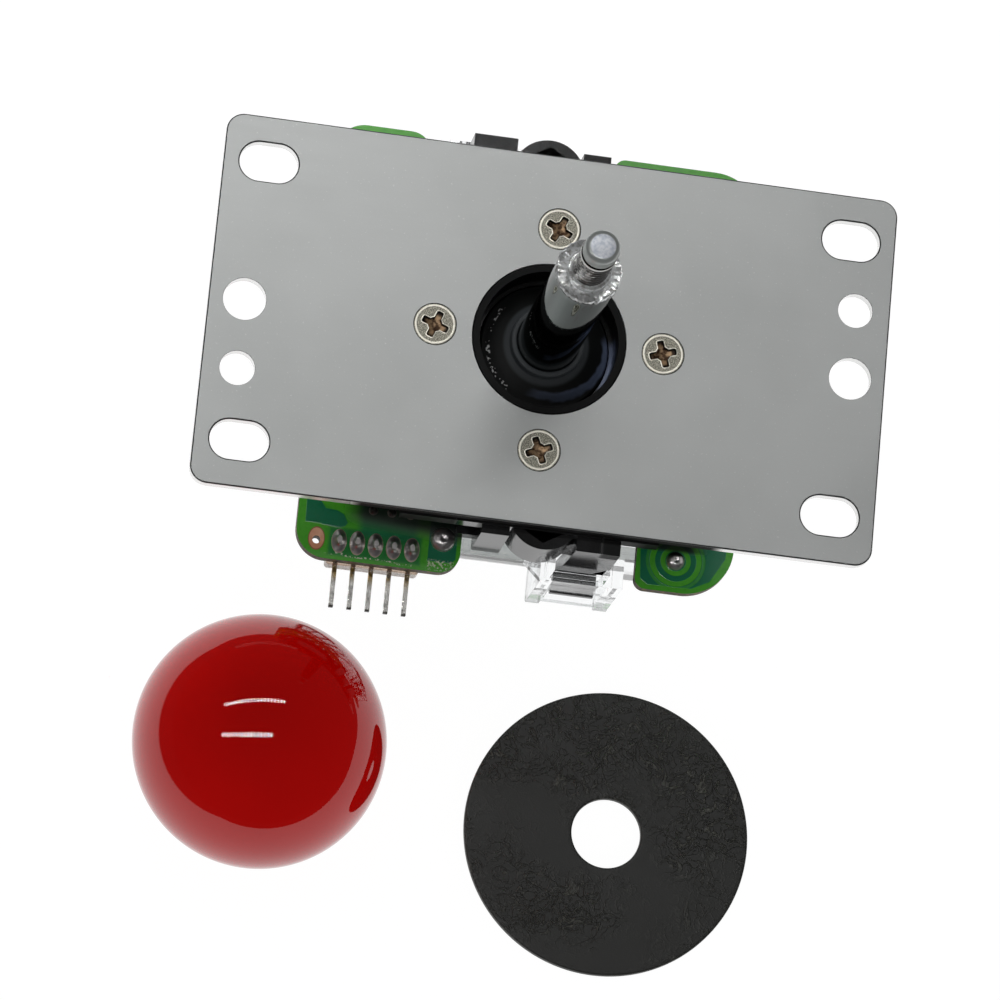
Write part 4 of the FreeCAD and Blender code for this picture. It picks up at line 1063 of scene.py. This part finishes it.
# Solder: bright joints on oval pads, hollow-sided cones that climb each pin and
# round blobs over the plated holes.

SOLDER_TOP = 0.98 * MM
board_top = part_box("circuit_board")[1][2]
PIN_ROW = [(-25.13 + 2.54 * k, -29.6) for k in range(5)]
SMALL_ROW = [(-20.8 + 2.6 * k, -24.7) for k in range(3)]
LEG_REACH = 13.65 * MM
LEG_PITCH = 5.08 * MM
CONE_COLUMNS = 40


def solder_cone(across, up, wide, long, tall, tip):
    """A joint whose side falls in a hollow curve from its tip to the pad's edge, stretched
    along one axis to suit an oval pad."""
    share = np.linspace(0, 1, 14)
    radius = tip + (1 - tip) * share ** 2.2
    height = tall * (1 - share) ** 0.8
    outline = np.concatenate([[(0, tall)], np.stack([radius, height], -1), [(0, 0)]])
    grid = lathe(outline, CONE_COLUMNS)
    grid[..., 0] *= wide / 2
    grid[..., 1] *= long / 2
    return grid + [across, up, board_top]


def solder_blob(across, up, wide):
    """A low round blob with a dimple where the flux was trapped."""
    radius = wide / 2
    turn = np.radians(np.linspace(90, 0, 12))
    outline = np.stack([radius * np.cos(turn), radius * 0.62 * np.sin(turn)], -1)
    outline[:3, 1] -= np.array([0.25, 0.16, 0.05]) * MM
    closed = np.concatenate([outline, [(0, 0)]])
    return lathe(closed, CONE_COLUMNS, (across, up)) + [0, 0, board_top]


joints = [
    solder_cone(x * MM, y * MM, 2.15 * MM, 3.45 * MM, SOLDER_TOP, 0.34) for x, y in PIN_ROW
]
joints += [
    solder_cone(x * MM, y * MM, 1.3 * MM, 1.3 * MM, 0.6 * MM, 0.35) for x, y in SMALL_ROW
]
for side in (0, 90, 180, 270):
    for step in (-1, 0, 1):
        x, y, _ = heading(side) * LEG_REACH + heading(side + 90) * step * LEG_PITCH
        joints.append(solder_cone(x, y, 2.1 * MM, 2.1 * MM, SOLDER_TOP, 0.35))
joints.append(solder_blob(-10.8 * MM, -27.6 * MM, 3.4 * MM))
joints.append(solder_blob(21.9 * MM, -26.4 * MM, 2.6 * MM))


def bright_solder():
    """Frosted tin with a brown rim of flux. The joints beside the housing are painted dark as
    the plate's shadow.
    """
    nodes, place, done = new_material("bright_solder")
    frost = nodes.noise(place, 0.45 * MM, 4.0)
    at = nodes.axes(place)
    rim = (at["Z"] - board_top).rise(0.16 * MM, 0.06 * MM)
    tone = nodes.blend(shown_colour(176, 172, 172), shown_colour(226, 222, 222), frost)
    tone = nodes.blend(tone, shown_colour(206, 184, 162), rim * 0.7)
    # Painted shadow: the joints under the plate's edge are painted dark.
    shaded = at["Y"].rise(-26.2 * MM, -25.6 * MM)
    tone = nodes.blend(tone, shown_colour(52, 56, 52), shaded * 0.85)
    return done(
        Base_Color=tone, Metallic=1 - rim * 0.5, Roughness=0.23 + frost * 0.20 + rim * 0.12,
        Normal=bump(nodes, nodes.noise(place, 0.9 * MM, 3.0), 0.10 * MM),
    )


fitted(skinned("solder", joints, bright_solder(), angle=50), "solder_joints")

# Restrictor gate: one clear polycarbonate moulding. Its loops snap over the
# housing's hooks, and the square hole in its floor stops the lever's foot.


def clear_moulding():
    """Clear throughout, with a scuffed grey top on the flange that stands past the board."""
    nodes, place, done = new_material("clear_polycarbonate")
    flow = nodes.noise(place, 6 * MM, 3.0)
    at = nodes.axes(place)
    on_top = nodes.upward().rise(0.5, 0.8)
    by_ear = (at["X"] / MM * (at["Y"] / MM)).rise(-30.0, -26.0)
    out = abs(at["Y"])
    flange = out.rise(26.9 * MM, 26.7 * MM).most(out.rise(28.95 * MM, 28.75 * MM) * by_ear)
    flange = flange * at["Z"].rise(-12.5 * MM, -12.3 * MM)
    scuffs = nodes.noise(place, 0.8 * MM, 4.0)
    clouded = nodes.blend(shown_colour(98, 102, 100), shown_colour(132, 136, 133), scuffs)
    tone = nodes.blend((0.97, 0.98, 0.985, 1.0), clouded, flange * on_top)
    return done(
        Base_Color=tone, Roughness=0.04, IOR=1.38,
        Transmission_Weight=1.0, Normal=bump(nodes, flow, 0.03 * MM),
    )


worked("restrictor_gate", clear_moulding(), width=0.25 * MM, name="clear_gate")

# Ball knob: a glossy red phenolic ball that stands on the flat round its hole,
# with a brass insert for the lever's thread.

BALL_RADIUS = 17.5 * MM
BALL_FLAT = 5.5 * MM
INSERT_RADIUS = 4.5 * MM
INSERT_LENGTH = 12.0 * MM
BALL_COLUMNS = 256
BALL_ROWS = 150


def knob_surface():
    """The socket's wall, the flat round it and the ball's arc, turned about the ball's
    own axis."""
    low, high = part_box("ball_knob")
    centre = ((low[0] + high[0]) / 2, (low[1] + high[1]) / 2)
    foot, middle = low[2], high[2] - BALL_RADIUS
    start = -math.degrees(math.acos(BALL_FLAT / BALL_RADIUS))
    socket = np.array([
        (0, foot + INSERT_LENGTH), (INSERT_RADIUS, foot + INSERT_LENGTH),
        (INSERT_RADIUS, foot + 0.2 * MM), (INSERT_RADIUS + 0.2 * MM, foot),
        (BALL_FLAT - 0.1 * MM, foot),
    ])
    ball = arc((0, middle), BALL_RADIUS, start, 90, BALL_ROWS)
    return lathe(np.concatenate([socket, ball]), BALL_COLUMNS, centre)


def red_phenolic():
    """Polished red with the faintest waviness."""
    nodes, place, done = new_material("red_phenolic")
    cloud = nodes.noise(place, 12 * MM, 3.0)
    orange_peel = nodes.noise(place, 1.2 * MM, 2.0)
    tone = nodes.blend(shown_colour(190, 2, 0), shown_colour(206, 5, 2), cloud)
    return done(
        Base_Color=tone, Roughness=0.012, IOR=1.5, Normal=bump(nodes, orange_peel, 0.002 * MM),
    )


fitted(skinned("red_ball", [knob_surface()], red_phenolic()), "ball_knob")


def turned_brass():
    nodes, place, done = new_material("turned_brass")
    marks = nodes.noise(nodes.stretched(place, 0.1, 0.1, 1.0), 0.2 * MM, 3.0)
    tone = nodes.blend(shown_colour(186, 150, 84), shown_colour(214, 182, 110), marks)
    return done(Base_Color=tone, Metallic=1.0, Roughness=0.25 + marks * 0.15)


worked("knob_insert", turned_brass(), name="brass_insert")

# Dust washer: a stamped disc of black rubber with a wrinkled skin, which slides
# on the lever above the plate.

WASHER_BORE = 4.95 * MM
WASHER_EDGE = 0.3 * MM
WASHER_COLUMNS = 240


def washer_surface():
    """A flat ring's outline with four rounded corners, turned about the washer's axis."""
    low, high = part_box("dust_washer")
    centre = ((low[0] + high[0]) / 2, (low[1] + high[1]) / 2)
    inside = WASHER_BORE + WASHER_EDGE
    outside = (high[0] - low[0]) / 2 - WASHER_EDGE
    above, below = high[2] - WASHER_EDGE, low[2] + WASHER_EDGE
    across = np.linspace(inside, outside, 40)[1:-1]
    outline = np.concatenate([
        arc((inside, above), WASHER_EDGE, 180, 90, 6),
        np.stack([across, np.full_like(across, high[2])], -1),
        arc((outside, above), WASHER_EDGE, 90, 0, 6),
        arc((outside, below), WASHER_EDGE, 0, -90, 6),
        arc((inside, below), WASHER_EDGE, 270, 180, 6),
    ])
    closed = np.concatenate([outline, outline[:1]])
    return lathe(closed, WASHER_COLUMNS, centre)


def wrinkled_rubber():
    """Fine raised veins painted lighter as highlights, with painted shade in the creases beside
    them, in patches.
    """
    nodes, place, done = new_material("wrinkled_rubber")
    patch = nodes.noise(place, 14 * MM, 2.0).rise(0.36, 0.62)
    large = nodes.noise(place, 3.2 * MM, 3.0, 1.6)
    small = nodes.noise(place, 1.3 * MM, 2.0, 1.0)
    veins_and_highlight = abs(large - 0.5).rise(0.035, 0.0) + abs(small - 0.5).rise(0.05, 0.0) * 0.5
    painted_crease_shade = abs(large - 0.535).rise(0.026, 0.0).most(abs(small - 0.55).rise(0.03, 0.0) * 0.6)
    cloud = nodes.noise(place, 9 * MM, 4.0)
    tone = nodes.blend(shown_colour(25, 26, 21), shown_colour(33, 34, 28), cloud)
    # Painted highlight: the raised veins are painted lighter for the light that they catch.
    tone = nodes.blend(tone, shown_colour(96, 96, 86), veins_and_highlight * patch * 0.5)
    # Painted shade: the creases beside the veins are painted near black.
    tone = nodes.blend(tone, shown_colour(6, 7, 5), painted_crease_shade * patch * 0.8)
    rough = 0.52 + (cloud - 0.5) * 0.2
    fine = nodes.noise(place, 0.25 * MM, 2.0)
    return done(
        Base_Color=tone, Roughness=rough,
        Normal=bump(nodes, veins_and_highlight * patch + fine * 0.12, 0.11 * MM),
    )


fitted(skinned("rubber_washer", [washer_surface()], wrinkled_rubber()), "dust_washer")
